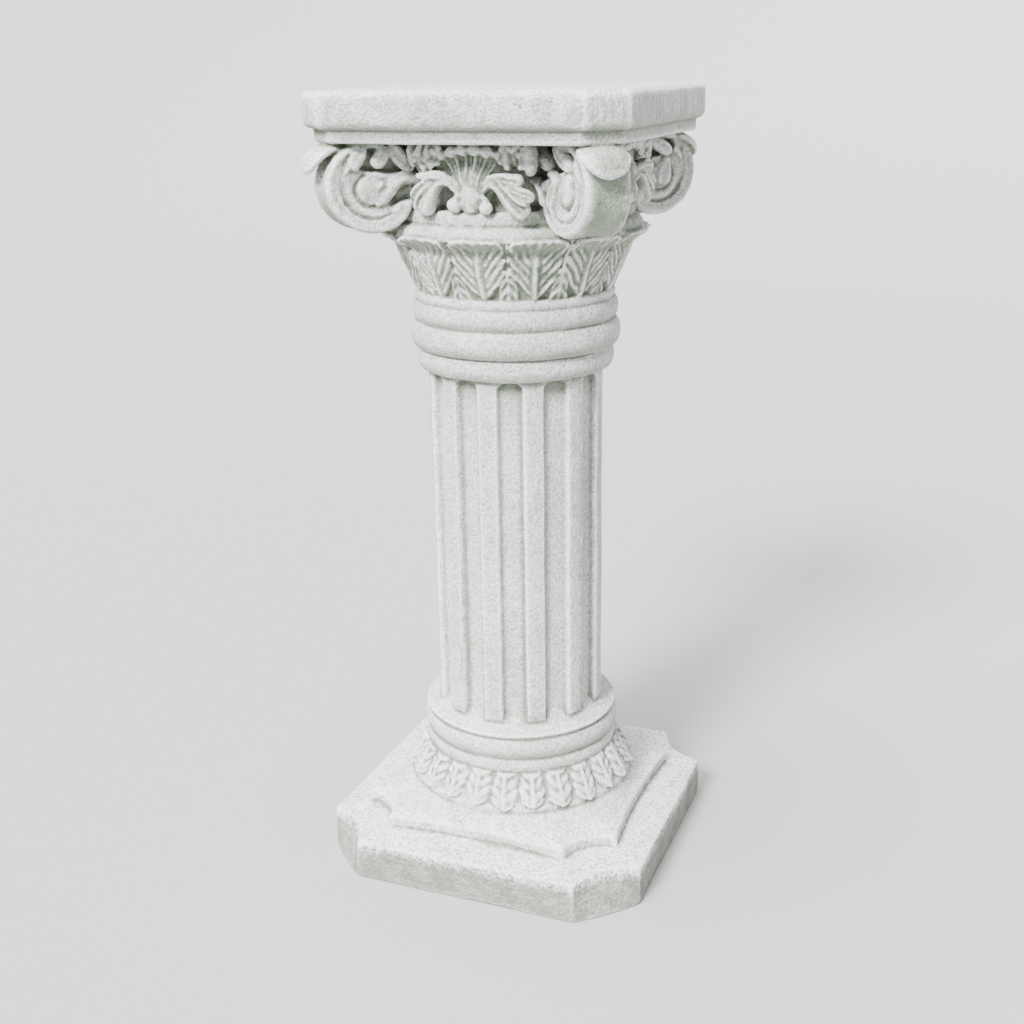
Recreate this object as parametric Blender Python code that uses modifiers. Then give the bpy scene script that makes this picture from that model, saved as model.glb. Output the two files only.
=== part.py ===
"""A garden column of cast concrete in the Corinthian manner, in metres.

The column stands on z = 0 with its axis on the Z axis, and its front looks along -Y.
It is one casting: the forms below are laid into each other and united into one solid.
"""
import math

import bmesh
import bpy
from mathutils import Vector

# Heights of the stacked forms, from the ground up
FOOT_EDGE_HEIGHT = 0.0432
FOOT_RISE = 0.0048
STEP_EDGE_HEIGHT = 0.0120
STEP_RISE = 0.0184
SKIRT_HEIGHT = 0.0328
LOW_BAND_HEIGHT = 0.0160
LOW_TORUS_HEIGHT = 0.0232
FLARE_HEIGHT = 0.0256
SHAFT_HEIGHT = 0.3528
COLLAR_HEIGHT = 0.0224
NECK_TORUS_HEIGHT = 0.0272
NECK_BAND_HEIGHT = 0.0204
NECK_THREAD_HEIGHT = 0.0096
BELL_HEIGHT = 0.0560
LIP_HEIGHT = 0.0148
LEDGE_HEIGHT = 0.0128
DRUM_HEIGHT = 0.0616
CUSHION_HEIGHT = 0.0120
ABACUS_HEIGHT = 0.0344

# Square forms: half widths and corners
FOOT_HALF = 0.1755
FOOT_CUT = 0.0540
FOOT_BULGE = 0.0030
FOOT_SCOOP = 0.0170
STEP_HALF = 0.1424
STEP_NOTCH = 0.0432
STEP_DRAW_IN = 0.0065
CUSHION_HALF = 0.1520
ABACUS_HALF = 0.1598
ABACUS_CUT = 0.0304
EDGE_WEAR = 0.0030

# Round forms: radii
SKIRT_FOOT_RADIUS = 0.1208
SKIRT_TOP_SET_BACK = 0.0018
LOW_BAND_RADIUS = 0.1048
LOW_TORUS_RADIUS = 0.1060
FLARE_RADIUS = 0.1024
SHAFT_RADIUS = 0.0896
COLLAR_RADIUS = 0.1000
NECK_TORUS_RADIUS = 0.1064
NECK_BAND_RADIUS = 0.1040
NECK_THREAD_RADIUS = 0.1008
BELL_FOOT_SET_BACK = 0.0046
LIP_RADIUS = 0.1290
LEDGE_SET_BACK = 0.0100
DRUM_SET_BACK = 0.0170
GROOVE_DEPTH = 0.0036

# Flutes of the shaft
FLUTE_COUNT = 12
FLUTE_DEPTH = 0.0056
FLUTE_HOLLOW = 0.0010
FLUTE_RUN_OUT = 0.0010
FLUTE_CLEARANCE = 0.0002
RIDGE_ANGLE = math.radians(12.4)
FLUTE_PHASE = math.radians(2.2)
RIDGE_END_DROP = 0.0120
ARCH_GAP = 0.0020

# Leaves of the base and of the bell
SKIRT_LEAVES = 24
SKIRT_PHASE = math.radians(-3.3)
SKIRT_LEAF_PROUD = 0.0042
SKIRT_TIP_ROUND = 0.0040
BELL_LEAVES = 13
BELL_PHASE = math.radians(4.5)
BELL_LEAF_PROUD = 0.0045
BELL_TIP_CURL = 0.0040
BELL_TIP_DROP = 0.0035
BUD_HEIGHT = 0.0230
BUD_HALF = 0.0105

# Corner volutes, measured in the diagonal plane of the capital
VOLUTE_OVERHANG = 0.0035
VOLUTE_TOP_LAP = 0.0005
VOLUTE_RADIUS = 0.0398
VOLUTE_CHANNEL_RADIUS = 0.0292
VOLUTE_EYE_RADIUS = 0.0158
VOLUTE_EDGE_HALF = 0.0160
VOLUTE_SPREAD = 0.08
VOLUTE_CHANNEL_DEPTH = 0.0055
VOLUTE_RIM_SLOPE = 0.0010
VOLUTE_EDGE_DROP = 0.0015
TONGUE_OVERHANG = 0.0120
TONGUE_LENGTH = 0.0300
TONGUE_HALF = 0.0250
TONGUE_THICKNESS = 0.0085

# Ornament in the middle of each face of the capital
SHELL_RIBS = 8
SHELL_HALF = 0.0300
SHELL_THROAT_HALF = 0.0085
SHELL_OVERHANG = 0.0080
SHELL_THROAT_SET_BACK = 0.0040
SHELL_DEPTH = 0.0022
SHELL_GAP = 0.0030
SHELL_CROWN = 0.0060
SHELL_BEND = 0.0040
BULB_HALF = 0.0104
BULB_HEIGHT = 0.0270
BALL_RADIUS = 0.0062
BALL_SPREAD = 0.0162
BALL_SINK = 0.0020
CREST_RISE = 0.0085
SCROLL_SPREAD = 0.0530
SCROLL_DROP = 0.0320
SCROLL_HALF = 0.0120
SCROLL_SINK = 0.0020
SCROLL_OUT = 0.0050
FINGER_HALF = 0.0046
HANGING_SPREADS = (0.0450, 0.0600)
HANGING_HALF = 0.0064
HANGING_LENGTH = 0.0260
HANGING_OUT = 0.0080
HANGING_DEPTH = 0.0090
LOBE_HALF = 0.0057
LOBE_THICKNESS = 0.0050

STEPS_PER_FLUTE = 3
TRIANGLES_KEPT = 0.565
CONCRETE_COLOUR = (0.72, 0.73, 0.71, 1.0)
CONCRETE_ROUGHNESS = 0.9
SINK = 0.004
LAP = 0.001
SMOOTH_ANGLE = math.radians(40)

# Levels that follow from the heights
FOOT_EDGE_Z = FOOT_EDGE_HEIGHT
STEP_FOOT_Z = FOOT_EDGE_Z + FOOT_RISE
STEP_EDGE_Z = STEP_FOOT_Z + STEP_EDGE_HEIGHT
SKIRT_FOOT_Z = STEP_EDGE_Z + STEP_RISE
LOW_BAND_Z = SKIRT_FOOT_Z + SKIRT_HEIGHT
LOW_TORUS_Z = LOW_BAND_Z + LOW_BAND_HEIGHT
FLARE_Z = LOW_TORUS_Z + LOW_TORUS_HEIGHT
SHAFT_Z = FLARE_Z + FLARE_HEIGHT
COLLAR_Z = SHAFT_Z + SHAFT_HEIGHT
NECK_TORUS_Z = COLLAR_Z + COLLAR_HEIGHT
NECK_BAND_Z = NECK_TORUS_Z + NECK_TORUS_HEIGHT
NECK_THREAD_Z = NECK_BAND_Z + NECK_BAND_HEIGHT
BELL_Z = NECK_THREAD_Z + NECK_THREAD_HEIGHT
LIP_Z = BELL_Z + BELL_HEIGHT
LEDGE_Z = LIP_Z + LIP_HEIGHT
DRUM_Z = LEDGE_Z + LEDGE_HEIGHT
CUSHION_Z = DRUM_Z + DRUM_HEIGHT
ABACUS_Z = CUSHION_Z + CUSHION_HEIGHT

# Radii and reaches that follow from other sizes
SKIRT_TOP_RADIUS = LOW_BAND_RADIUS - SKIRT_TOP_SET_BACK
BELL_FOOT_RADIUS = NECK_THREAD_RADIUS - BELL_FOOT_SET_BACK
LEDGE_RADIUS = LIP_RADIUS - LEDGE_SET_BACK
DRUM_RADIUS = LEDGE_RADIUS - DRUM_SET_BACK
CORNER_REACH = (2 * CUSHION_HALF - ABACUS_CUT) / math.sqrt(2)
VOLUTE_REACH = CORNER_REACH + VOLUTE_OVERHANG
EYE_REACH = VOLUTE_REACH - VOLUTE_RADIUS
VOLUTE_EYE_Z = CUSHION_Z - VOLUTE_RADIUS + VOLUTE_TOP_LAP
TONGUE_REACH = VOLUTE_REACH + TONGUE_OVERHANG
CREST_Z = VOLUTE_EYE_Z + CREST_RISE


def clear_scene():
    for old in list(bpy.data.objects):
        bpy.data.objects.remove(old, do_unlink=True)


def new_collection(name):
    collection = bpy.data.collections.new(name)
    bpy.context.scene.collection.children.link(collection)
    return collection


def concrete():
    material = bpy.data.materials.new("cast concrete")
    material.use_nodes = True
    shader = material.node_tree.nodes["Principled BSDF"]
    shader.inputs["Base Color"].default_value = CONCRETE_COLOUR
    shader.inputs["Roughness"].default_value = CONCRETE_ROUGHNESS
    shader.inputs["Metallic"].default_value = 0.0
    return material


def closed_mesh(name, points, faces):
    """A mesh whose faces all look outwards."""
    mesh = bpy.data.meshes.new(name)
    mesh.from_pydata([tuple(point) for point in points], [], faces)
    work = bmesh.new()
    work.from_mesh(mesh)
    bmesh.ops.remove_doubles(work, verts=work.verts, dist=1e-6)
    bmesh.ops.recalc_face_normals(work, faces=work.faces)
    work.to_mesh(mesh)
    work.free()
    mesh.shade_smooth()
    mesh.set_sharp_from_angle(angle=SMOOTH_ANGLE)
    return mesh


def place(mesh, collection, angle=0.0, name=None):
    """Put a form into a collection, turned about the column's axis."""
    item = bpy.data.objects.new(name or mesh.name, mesh)
    item.rotation_euler.z = angle
    collection.objects.link(item)
    return item


def loft(name, sections):
    """A solid through closed sections that have the same number of points."""
    count = len(sections[0])
    points = [point for section in sections for point in section]
    faces = []
    for level in range(len(sections) - 1):
        for i in range(count):
            a = level * count + i
            b = level * count + (i + 1) % count
            faces.append((a, b, b + count, a + count))
    last = (len(sections) - 1) * count
    faces.append(tuple(range(count)))
    faces.append(tuple(range(last, last + count)))
    return closed_mesh(name, points, faces)


def relief(name, rows, apex):
    """A leaf: a raised grid in front, closed by a fan to one point inside the stone."""
    count = len(rows[0])
    points = [point for row in rows for point in row] + [apex]
    faces = []
    for r in range(len(rows) - 1):
        for i in range(count - 1):
            a = r * count + i
            faces.append((a, a + 1, a + 1 + count, a + count))
    rim = list(range(count))
    rim += [r * count + count - 1 for r in range(1, len(rows))]
    rim += [(len(rows) - 1) * count + i for i in range(count - 2, -1, -1)]
    rim += [r * count for r in range(len(rows) - 2, 0, -1)]
    for a, b in zip(rim, rim[1:] + rim[:1]):
        faces.append((b, a, len(points) - 1))
    return closed_mesh(name, points, faces)


def stem(name, stations, outward, sides):
    """A solid along a path: each station is (centre, half width, half depth)."""
    outward = Vector(outward)
    sections = []
    for i, (centre, half_width, half_depth) in enumerate(stations):
        before = Vector(stations[max(i - 1, 0)][0])
        after = Vector(stations[min(i + 1, len(stations) - 1)][0])
        along = (after - before).normalized()
        across = along.cross(outward).normalized()
        up = across.cross(along)
        section = []
        for k in range(sides):
            angle = math.tau * (k + 0.5) / sides
            offset = across * half_width * math.cos(angle) + up * half_depth * math.sin(angle)
            section.append(Vector(centre) + offset)
        sections.append(section)
    return loft(name, sections)


def bow(start, end, inward, sagitta, count):
    """Points on a shallow arc between two corners of an outline."""
    points = []
    for i in range(count):
        t = i / (count - 1)
        points.append(start.lerp(end, t) + inward * (4 * t * (1 - t) * sagitta))
    return points


def square_outline(half, corner, draw_in, z, corner_points=7, side_points=3):
    """A square with shaped corners; corner() gives the points of the front right one."""
    outline = []
    for quarter in range(4):
        points = corner(half, corner_points)
        start = points[-1]
        end = Vector((half, points[0].x))
        side = bow(start, end, Vector((-1.0, 0.0)), draw_in, side_points + 2)[1:-1]
        turn = math.tau * quarter / 4
        for p in points + side:
            x = p.x * math.cos(turn) - p.y * math.sin(turn)
            y = p.x * math.sin(turn) + p.y * math.cos(turn)
            outline.append(Vector((x, y, z)))
    return outline


def bowed_corner(cut, sagitta):
    """A corner cut across, hollow where the sagitta is positive, swelling where negative."""
    def corner(half, count):
        start = Vector((half - cut, -half))
        end = Vector((half, cut - half))
        return bow(start, end, Vector((-1.0, 1.0)).normalized(), sagitta, count)
    return corner


def notched_corner(radius):
    """A corner with a round notch about the square's own corner."""
    def corner(half, count):
        points = []
        for i in range(count):
            angle = math.pi / 2 * i / (count - 1)
            points.append(Vector((half - radius * math.cos(angle), radius * math.sin(angle) - half)))
        return points
    return corner


def circle_like(outline, radius, z):
    """The circle whose points lie at the same angles as those of an outline."""
    points = []
    for p in outline:
        scale = radius / math.hypot(p.x, p.y)
        points.append(Vector((p.x * scale, p.y * scale, z)))
    return points


def foot():
    """The lower plinth: cut corners, flat at the ground and scooped at the top."""
    swell = bowed_corner(FOOT_CUT, -FOOT_BULGE)
    scoop = bowed_corner(FOOT_CUT, FOOT_SCOOP)
    notch = notched_corner(STEP_NOTCH)
    sections = [
        square_outline(FOOT_HALF, swell, 0.0, 0.0),
        square_outline(FOOT_HALF, swell, 0.0, FOOT_EDGE_Z * 0.35),
        square_outline(FOOT_HALF, scoop, 0.0, FOOT_EDGE_Z - EDGE_WEAR),
        square_outline(FOOT_HALF - EDGE_WEAR, scoop, 0.0, FOOT_EDGE_Z),
        square_outline(STEP_HALF - EDGE_WEAR, notch, STEP_DRAW_IN, STEP_FOOT_Z),
    ]
    return loft("lower plinth", sections)


def step():
    """The upper plinth: round notches at its corners and a top that rises to the shaft's base."""
    notch = notched_corner(STEP_NOTCH)
    edge = square_outline(STEP_HALF, notch, STEP_DRAW_IN, 0.0)
    sections = [
        square_outline(STEP_HALF, notch, STEP_DRAW_IN, STEP_FOOT_Z - SINK),
        square_outline(STEP_HALF, notch, STEP_DRAW_IN, STEP_EDGE_Z - EDGE_WEAR),
        square_outline(STEP_HALF - EDGE_WEAR, notch, STEP_DRAW_IN, STEP_EDGE_Z),
        circle_like(edge, SKIRT_FOOT_RADIUS, SKIRT_FOOT_Z),
    ]
    return loft("upper plinth", sections)


def slab(name, half, z, height):
    """A square slab with cut corners and worn edges."""
    cut = bowed_corner(ABACUS_CUT, 0.0)
    inner = half - EDGE_WEAR
    sections = [
        square_outline(inner, cut, 0.0, z, 2, 1),
        square_outline(half, cut, 0.0, z + EDGE_WEAR, 2, 1),
        square_outline(half, cut, 0.0, z + height - EDGE_WEAR, 2, 1),
        square_outline(inner, cut, 0.0, z + height, 2, 1),
    ]
    return loft(name, sections)


def half_round(radius, top, height, steps):
    """A half round moulding between the groove above it and the groove below it."""
    points = []
    for i in range(steps + 1):
        angle = math.pi * i / steps
        reach = radius - GROOVE_DEPTH + GROOVE_DEPTH * math.sin(angle) ** 0.7
        points.append((reach, top - height * (1 - math.cos(angle)) / 2))
    return points


def bell_radius(z):
    u = (z - BELL_Z) / BELL_HEIGHT
    return BELL_FOOT_RADIUS + (LIP_RADIUS - BELL_FOOT_RADIUS) * (0.72 * u + 0.28 * u ** 5)


def flare_radius(z):
    """The hollow curve by which the floor of the flutes runs out into the base."""
    floor = SHAFT_RADIUS - FLUTE_DEPTH
    u = min(max((SHAFT_Z - z) / FLARE_HEIGHT, 0.0), 1.0)
    return floor + (FLARE_RADIUS - floor) * (1 - math.sqrt(1 - u * u * 0.98))


def round_profile():
    """The outer side of every turned form, from the top of the drum down to the skirt's foot."""
    ridge_end = SHAFT_Z - RIDGE_END_DROP
    profile = [(0.0, CUSHION_Z + SINK), (DRUM_RADIUS, CUSHION_Z + SINK), (DRUM_RADIUS, DRUM_Z)]
    profile += [(LEDGE_RADIUS - EDGE_WEAR, DRUM_Z), (LEDGE_RADIUS, DRUM_Z - EDGE_WEAR)]
    profile += [(LEDGE_RADIUS, LEDGE_Z), (LIP_RADIUS - EDGE_WEAR, LEDGE_Z - EDGE_WEAR / 2)]
    profile += [(LIP_RADIUS, LIP_Z + LIP_HEIGHT / 3)]
    for i in range(4):
        z = LIP_Z - BELL_HEIGHT * i / 3
        profile.append((bell_radius(z), z))
    profile += half_round(NECK_THREAD_RADIUS, BELL_Z, NECK_THREAD_HEIGHT, 2)
    profile += half_round(NECK_BAND_RADIUS, NECK_THREAD_Z, NECK_BAND_HEIGHT, 3)[1:]
    profile += half_round(NECK_TORUS_RADIUS, NECK_BAND_Z, NECK_TORUS_HEIGHT, 4)[1:]
    profile += half_round(COLLAR_RADIUS, NECK_TORUS_Z, COLLAR_HEIGHT, 3)[1:-1]
    profile += [(SHAFT_RADIUS, COLLAR_Z), (SHAFT_RADIUS, ridge_end)]
    for i in range(4):
        z = ridge_end - (ridge_end - FLARE_Z - EDGE_WEAR) * i / 3
        profile.append((flare_radius(z), z))
    profile += [(FLARE_RADIUS - GROOVE_DEPTH, FLARE_Z)]
    profile += half_round(LOW_TORUS_RADIUS, FLARE_Z, LOW_TORUS_HEIGHT, 4)[1:]
    profile += half_round(LOW_BAND_RADIUS, LOW_TORUS_Z, LOW_BAND_HEIGHT, 3)[1:]
    profile += [(SKIRT_TOP_RADIUS, LOW_BAND_Z - LAP), (SKIRT_FOOT_RADIUS, SKIRT_FOOT_Z)]
    profile += [(SKIRT_FOOT_RADIUS - SINK, SKIRT_FOOT_Z - SINK), (0.0, SKIRT_FOOT_Z - SINK)]
    return profile


def turned_body(collection):
    """The round forms, turned about the axis, before the flutes are cut."""
    profile = [(radius, 0.0, z) for radius, z in round_profile()]
    mesh = bpy.data.meshes.new("turned body")
    mesh.from_pydata(profile, [(i, i + 1) for i in range(len(profile) - 1)], [])
    body = place(mesh, collection, FLUTE_PHASE)
    screw = body.modifiers.new("turn", "SCREW")
    screw.axis = "Z"
    screw.steps = STEPS_PER_FLUTE * FLUTE_COUNT
    screw.render_steps = screw.steps
    screw.use_merge_vertices = True
    screw.merge_threshold = 0.00001
    return body


def flute_cutter():
    """One flute: steep walls, a shallow floor, a round arch above and an open lower end."""
    half_angle = (math.tau / FLUTE_COUNT - RIDGE_ANGLE) / 2
    half = SHAFT_RADIUS * math.sin(half_angle)
    arch_top = COLLAR_Z - ARCH_GAP
    ridge_end = SHAFT_Z - RIDGE_END_DROP
    levels = [(z, 1.0) for z in (ridge_end - FLUTE_RUN_OUT, ridge_end, (ridge_end + SHAFT_Z) / 2, SHAFT_Z)]
    for i in range(4):
        angle = math.pi / 2 * i / 3.3
        levels.append((arch_top - half + half * math.sin(angle), math.cos(angle)))
    sections = []
    for z, share in levels:
        floor = max(SHAFT_RADIUS - FLUTE_DEPTH, flare_radius(z) + FLUTE_CLEARANCE)
        rim = SHAFT_RADIUS * math.cos(half_angle)
        outer = SHAFT_RADIUS + FLUTE_DEPTH
        section = []
        for across, reach in ((-1.05, outer), (-1.0, rim), (-0.86, floor + FLUTE_HOLLOW), (0.0, floor),
                              (0.86, floor + FLUTE_HOLLOW), (1.0, rim), (1.05, outer)):
            section.append(Vector((half * across * share, -reach, z)))
        sections.append(section)
    return loft("flute", sections)


def skirt_leaf():
    """A small leaf that hangs over the foot of the base, its tip at the plinth."""
    rows = []
    widths = (0.62, 0.95, 0.90, 0.62)
    half = SKIRT_FOOT_RADIUS * math.sin(math.pi / SKIRT_LEAVES) * 0.92
    for r, width in enumerate(widths):
        t = r / (len(widths) - 1)
        z = LOW_BAND_Z + LAP - SKIRT_HEIGHT * t
        radius = SKIRT_TOP_RADIUS + (SKIRT_FOOT_RADIUS - SKIRT_TOP_RADIUS) * t
        proud = SKIRT_LEAF_PROUD * (0.5 + 0.9 * t)
        row = []
        for k, rise in enumerate((0.25, 0.8, 1.0, 0.8, 0.25)):
            across = (k - 2) / 2 * half * width
            row.append(Vector((across, -(radius + proud * rise), z)))
        rows.append(row)
    rows[-1][0].z += SKIRT_TIP_ROUND
    rows[-1][4].z += SKIRT_TIP_ROUND
    return relief("skirt leaf", rows, Vector((0.0, -SKIRT_TOP_RADIUS * 0.8, LOW_BAND_Z - SKIRT_HEIGHT / 2)))


def bell_leaf():
    """An acanthus leaf on the bell, fanned out and curling forward at the lip."""
    rows = []
    half_shares = (0.17, 0.30, 0.41, 0.48, 0.45, 0.38)
    rises = (0.35, 0.85, 0.55, 1.0, 0.55, 0.85, 0.35)
    for r, share in enumerate(half_shares):
        t = r / (len(half_shares) - 1)
        half_angle = share * math.tau / BELL_LEAVES
        z = BELL_Z + BELL_HEIGHT * (0.03 + 0.93 * t)
        radius = bell_radius(z)
        curl = BELL_TIP_CURL * max(0.0, t - 0.7) / 0.3
        row = []
        for k, rise in enumerate(rises):
            angle = half_angle * (k - 3) / 3
            reach = radius + BELL_LEAF_PROUD * rise + curl
            drop = BELL_TIP_DROP * abs(k - 3) / 3 if r == len(half_shares) - 1 else 0.0
            row.append(Vector((reach * math.sin(angle), -reach * math.cos(angle), z - drop)))
        rows.append(row)
    return relief("bell leaf", rows, Vector((0.0, -BELL_FOOT_RADIUS * 0.75, BELL_Z + BELL_HEIGHT / 2)))


def bell_bud():
    """The small pointed leaf between two leaves of the bell."""
    rows = []
    for t, share in ((0.0, 0.67), (0.35, 1.0), (0.7, 0.71), (1.0, 0.11)):
        z = BELL_Z + LAP + BUD_HEIGHT * t
        radius = bell_radius(z)
        row = []
        for k, rise in enumerate((0.45, 1.0, 0.45)):
            row.append(Vector(((k - 1) * BUD_HALF * share, -(radius + BELL_LEAF_PROUD * rise), z)))
        rows.append(row)
    return relief("bell bud", rows, Vector((0.0, -BELL_FOOT_RADIUS * 0.75, BELL_Z + BUD_HEIGHT / 2)))


def volute_half(reach):
    return VOLUTE_EDGE_HALF + VOLUTE_SPREAD * (VOLUTE_REACH - reach)


def volute():
    """A corner scroll: two faces with a rim, a sunk channel and an eye, and a plain outer band."""
    turns = 16
    rim = VOLUTE_CHANNEL_RADIUS + VOLUTE_RIM_SLOPE
    profile = ((0.0, 0.0), (VOLUTE_EYE_RADIUS * 0.8, 0.0), (VOLUTE_EYE_RADIUS, -VOLUTE_CHANNEL_DEPTH),
               (VOLUTE_CHANNEL_RADIUS, -VOLUTE_CHANNEL_DEPTH), (rim, 0.0),
               (VOLUTE_RADIUS, -VOLUTE_EDGE_DROP))
    points = []
    for side in (1, -1):
        for spread, rise in profile:
            for i in range(turns):
                angle = math.tau * i / turns
                swell = 1 + 0.14 * max(0.0, math.cos(angle - math.radians(218))) ** 2
                reach = EYE_REACH + spread * swell * math.cos(angle)
                z = VOLUTE_EYE_Z + spread * swell * math.sin(angle)
                points.append(Vector((side * (volute_half(reach) + rise), -reach, z)))
    rings = len(profile)
    faces = []
    for side in range(2):
        for ring in range(rings - 1):
            for i in range(turns):
                a = (side * rings + ring) * turns
                b = (i + 1) % turns
                faces.append((a + i, a + b, a + turns + b, a + turns + i))
    outer = (rings - 1) * turns
    for i in range(turns):
        b = (i + 1) % turns
        faces.append((outer + i, outer + b, rings * turns + outer + b, rings * turns + outer + i))
    return closed_mesh("volute", points, faces)


def volute_web():
    """The stone that joins a scroll to the drum, set back from the scroll's faces."""
    near = DRUM_RADIUS * 0.85
    far = EYE_REACH
    sections = []
    for reach in (near, far):
        half = volute_half(reach) - VOLUTE_CHANNEL_DEPTH * 1.6
        low = VOLUTE_EYE_Z - VOLUTE_RADIUS * 0.72
        high = CUSHION_Z + SINK
        sections.append([Vector((x, -reach, z)) for x, z in
                         ((-half, low), (half, low), (half, high), (-half, high))])
    return loft("volute web", sections)


def face_stem(name, side, path, sides=5):
    """A stem on one face of a scroll, its path given as (reach, z, half width, half depth)."""
    stations = []
    for reach, z, half_width, half_depth in path:
        stations.append((Vector((side * (volute_half(reach) - LAP), -reach, z)), half_width, half_depth))
    return stem(name, stations, (side, -VOLUTE_SPREAD, 0.0), sides)


def stalk(side):
    """The curl that runs from the eye of a scroll towards the middle of the face."""
    path = []
    for inward, rise, half_width, half_depth in ((0.10, -0.025, 0.10, 0.075), (0.35, 0.10, 0.15, 0.090),
                                                 (0.65, 0.225, 0.156, 0.10), (1.0, 0.20, 0.14, 0.10)):
        path.append((EYE_REACH - VOLUTE_RADIUS * inward, VOLUTE_EYE_Z + VOLUTE_RADIUS * rise,
                     VOLUTE_RADIUS * half_width, VOLUTE_RADIUS * half_depth))
    return face_stem("volute stalk", side, path)


def lobe(side, root, tip):
    """A leaf lobe that hangs from the abacus over a scroll, by shares of the scroll's radius."""
    path = []
    for t, share in ((0.0, 0.85), (0.4, 1.0), (0.75, 0.85), (1.0, 0.3)):
        reach = EYE_REACH + VOLUTE_RADIUS * (root[0] + (tip[0] - root[0]) * t)
        z = VOLUTE_EYE_Z + VOLUTE_RADIUS * (root[1] + (tip[1] - root[1]) * t)
        path.append((reach, z, LOBE_HALF * share, LOBE_THICKNESS * share))
    return face_stem("volute lobe", side, path)


def tongue():
    """The smooth leaf that folds over each scroll below the abacus corner."""
    path = ((1.0, 0.117, 0.70, 0.8), (0.517, 0.283, 1.0, 1.0), (0.25, 0.55, 0.86, 0.9),
            (0.083, 0.783, 0.50, 0.7), (0.0, 0.883, 0.12, 0.3))
    stations = []
    for inward, drop, width, depth in path:
        centre = Vector((0.0, TONGUE_LENGTH * inward - TONGUE_REACH, CUSHION_Z - TONGUE_LENGTH * drop))
        stations.append((centre, TONGUE_HALF * width, TONGUE_THICKNESS / 2 * depth))
    return stem("tongue leaf", stations, (0.0, -1.0, 0.6), 8)


def shell():
    """The ribbed fan in the middle of a face, leaning out under the abacus."""
    columns = 2 * SHELL_RIBS + 1
    low = VOLUTE_EYE_Z + SHELL_GAP
    high = CUSHION_Z - SHELL_GAP
    rows = []
    for t in (0.0, 0.35, 0.7, 1.0):
        half = SHELL_THROAT_HALF + (SHELL_HALF - SHELL_THROAT_HALF) * t ** 1.2
        out = LEDGE_RADIUS - SHELL_THROAT_SET_BACK + (SHELL_OVERHANG + SHELL_THROAT_SET_BACK) * t ** 1.5
        row = []
        for k in range(columns):
            u = (k - SHELL_RIBS) / SHELL_RIBS
            rib = SHELL_DEPTH * (0.3 + 0.7 * t) * (1 if k % 2 else 0)
            z = low + (high - low) * t - SHELL_CROWN * u * u * t
            row.append(Vector((half * u, -(out - SHELL_BEND * u * u - rib), z)))
        rows.append(row)
    return relief("shell", rows, Vector((0.0, -DRUM_RADIUS * 0.85, (low + high) / 2)))


def ball(name, radius, height, across, out, z, around=6):
    mesh = bpy.data.meshes.new(name)
    work = bmesh.new()
    bmesh.ops.create_uvsphere(work, u_segments=around, v_segments=around - 2, radius=1.0)
    for vertex in work.verts:
        x, y, up = vertex.co
        vertex.co = Vector((across + radius * x, radius * y - out, z + height * up))
    work.to_mesh(mesh)
    work.free()
    mesh.shade_smooth()
    return mesh


def scroll_leaf(side):
    """The acanthus scroll that arches out beside the shell and droops to a round tip."""
    path = ((0.14, 0.56, 0.30, 0.0, 0.6), (0.30, 0.16, 0.52, 0.6, 0.8), (0.52, 0.0, 0.68, 1.0, 1.0),
            (0.74, 0.16, 0.84, 1.0, 1.0), (0.93, 0.56, 1.0, 0.8, 1.0), (1.02, 1.0, 0.88, 0.7, 0.9))
    stations = []
    for across, drop, width, out, depth in path:
        reach = LEDGE_RADIUS - SCROLL_SINK + SCROLL_OUT * out
        centre = Vector((side * SCROLL_SPREAD * across, -reach, CREST_Z - SCROLL_DROP * drop))
        stations.append((centre, SCROLL_HALF * width * 0.85, SCROLL_HALF * 0.62 * depth))
    last = Vector((side * SCROLL_SPREAD * 1.03, LAP - LEDGE_RADIUS, DRUM_Z - SINK))
    stations.append((last, SCROLL_HALF * 0.35, SCROLL_HALF * 0.25))
    return stem("scroll leaf", stations, (0.0, -1.0, 0.0), 6)


def finger(side, start, end, thickness):
    """A finger of the scroll leaf, from start to end as shares of the leaf's spread about its crest."""
    stations = []
    for t, share in ((0.0, 0.8), (0.5, 1.0), (0.85, 0.8), (1.0, 0.3)):
        across = SCROLL_SPREAD * (start[0] + (end[0] - start[0]) * t)
        drop = SCROLL_SPREAD * (start[1] + (end[1] - start[1]) * t)
        centre = Vector((side * across, -(LEDGE_RADIUS + SCROLL_OUT * 0.3), CREST_Z - drop))
        half = FINGER_HALF * thickness * share
        stations.append((centre, half, half))
    return stem("scroll finger", stations, (0.0, -1.0, 0.0), 5)


def hanging_lobe(side, across):
    """An upright lobe between the shell and a scroll, tucked under the abacus."""
    stations = []
    for drop, share in ((-0.15, 0.8), (0.38, 1.0), (0.81, 0.9), (1.0, 0.35)):
        centre = Vector((side * across, -(DRUM_RADIUS + HANGING_OUT), CUSHION_Z - HANGING_LENGTH * drop))
        stations.append((centre, HANGING_HALF * share, HANGING_DEPTH * share))
    return stem("hanging lobe", stations, (0.0, -1.0, 0.0), 5)


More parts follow.
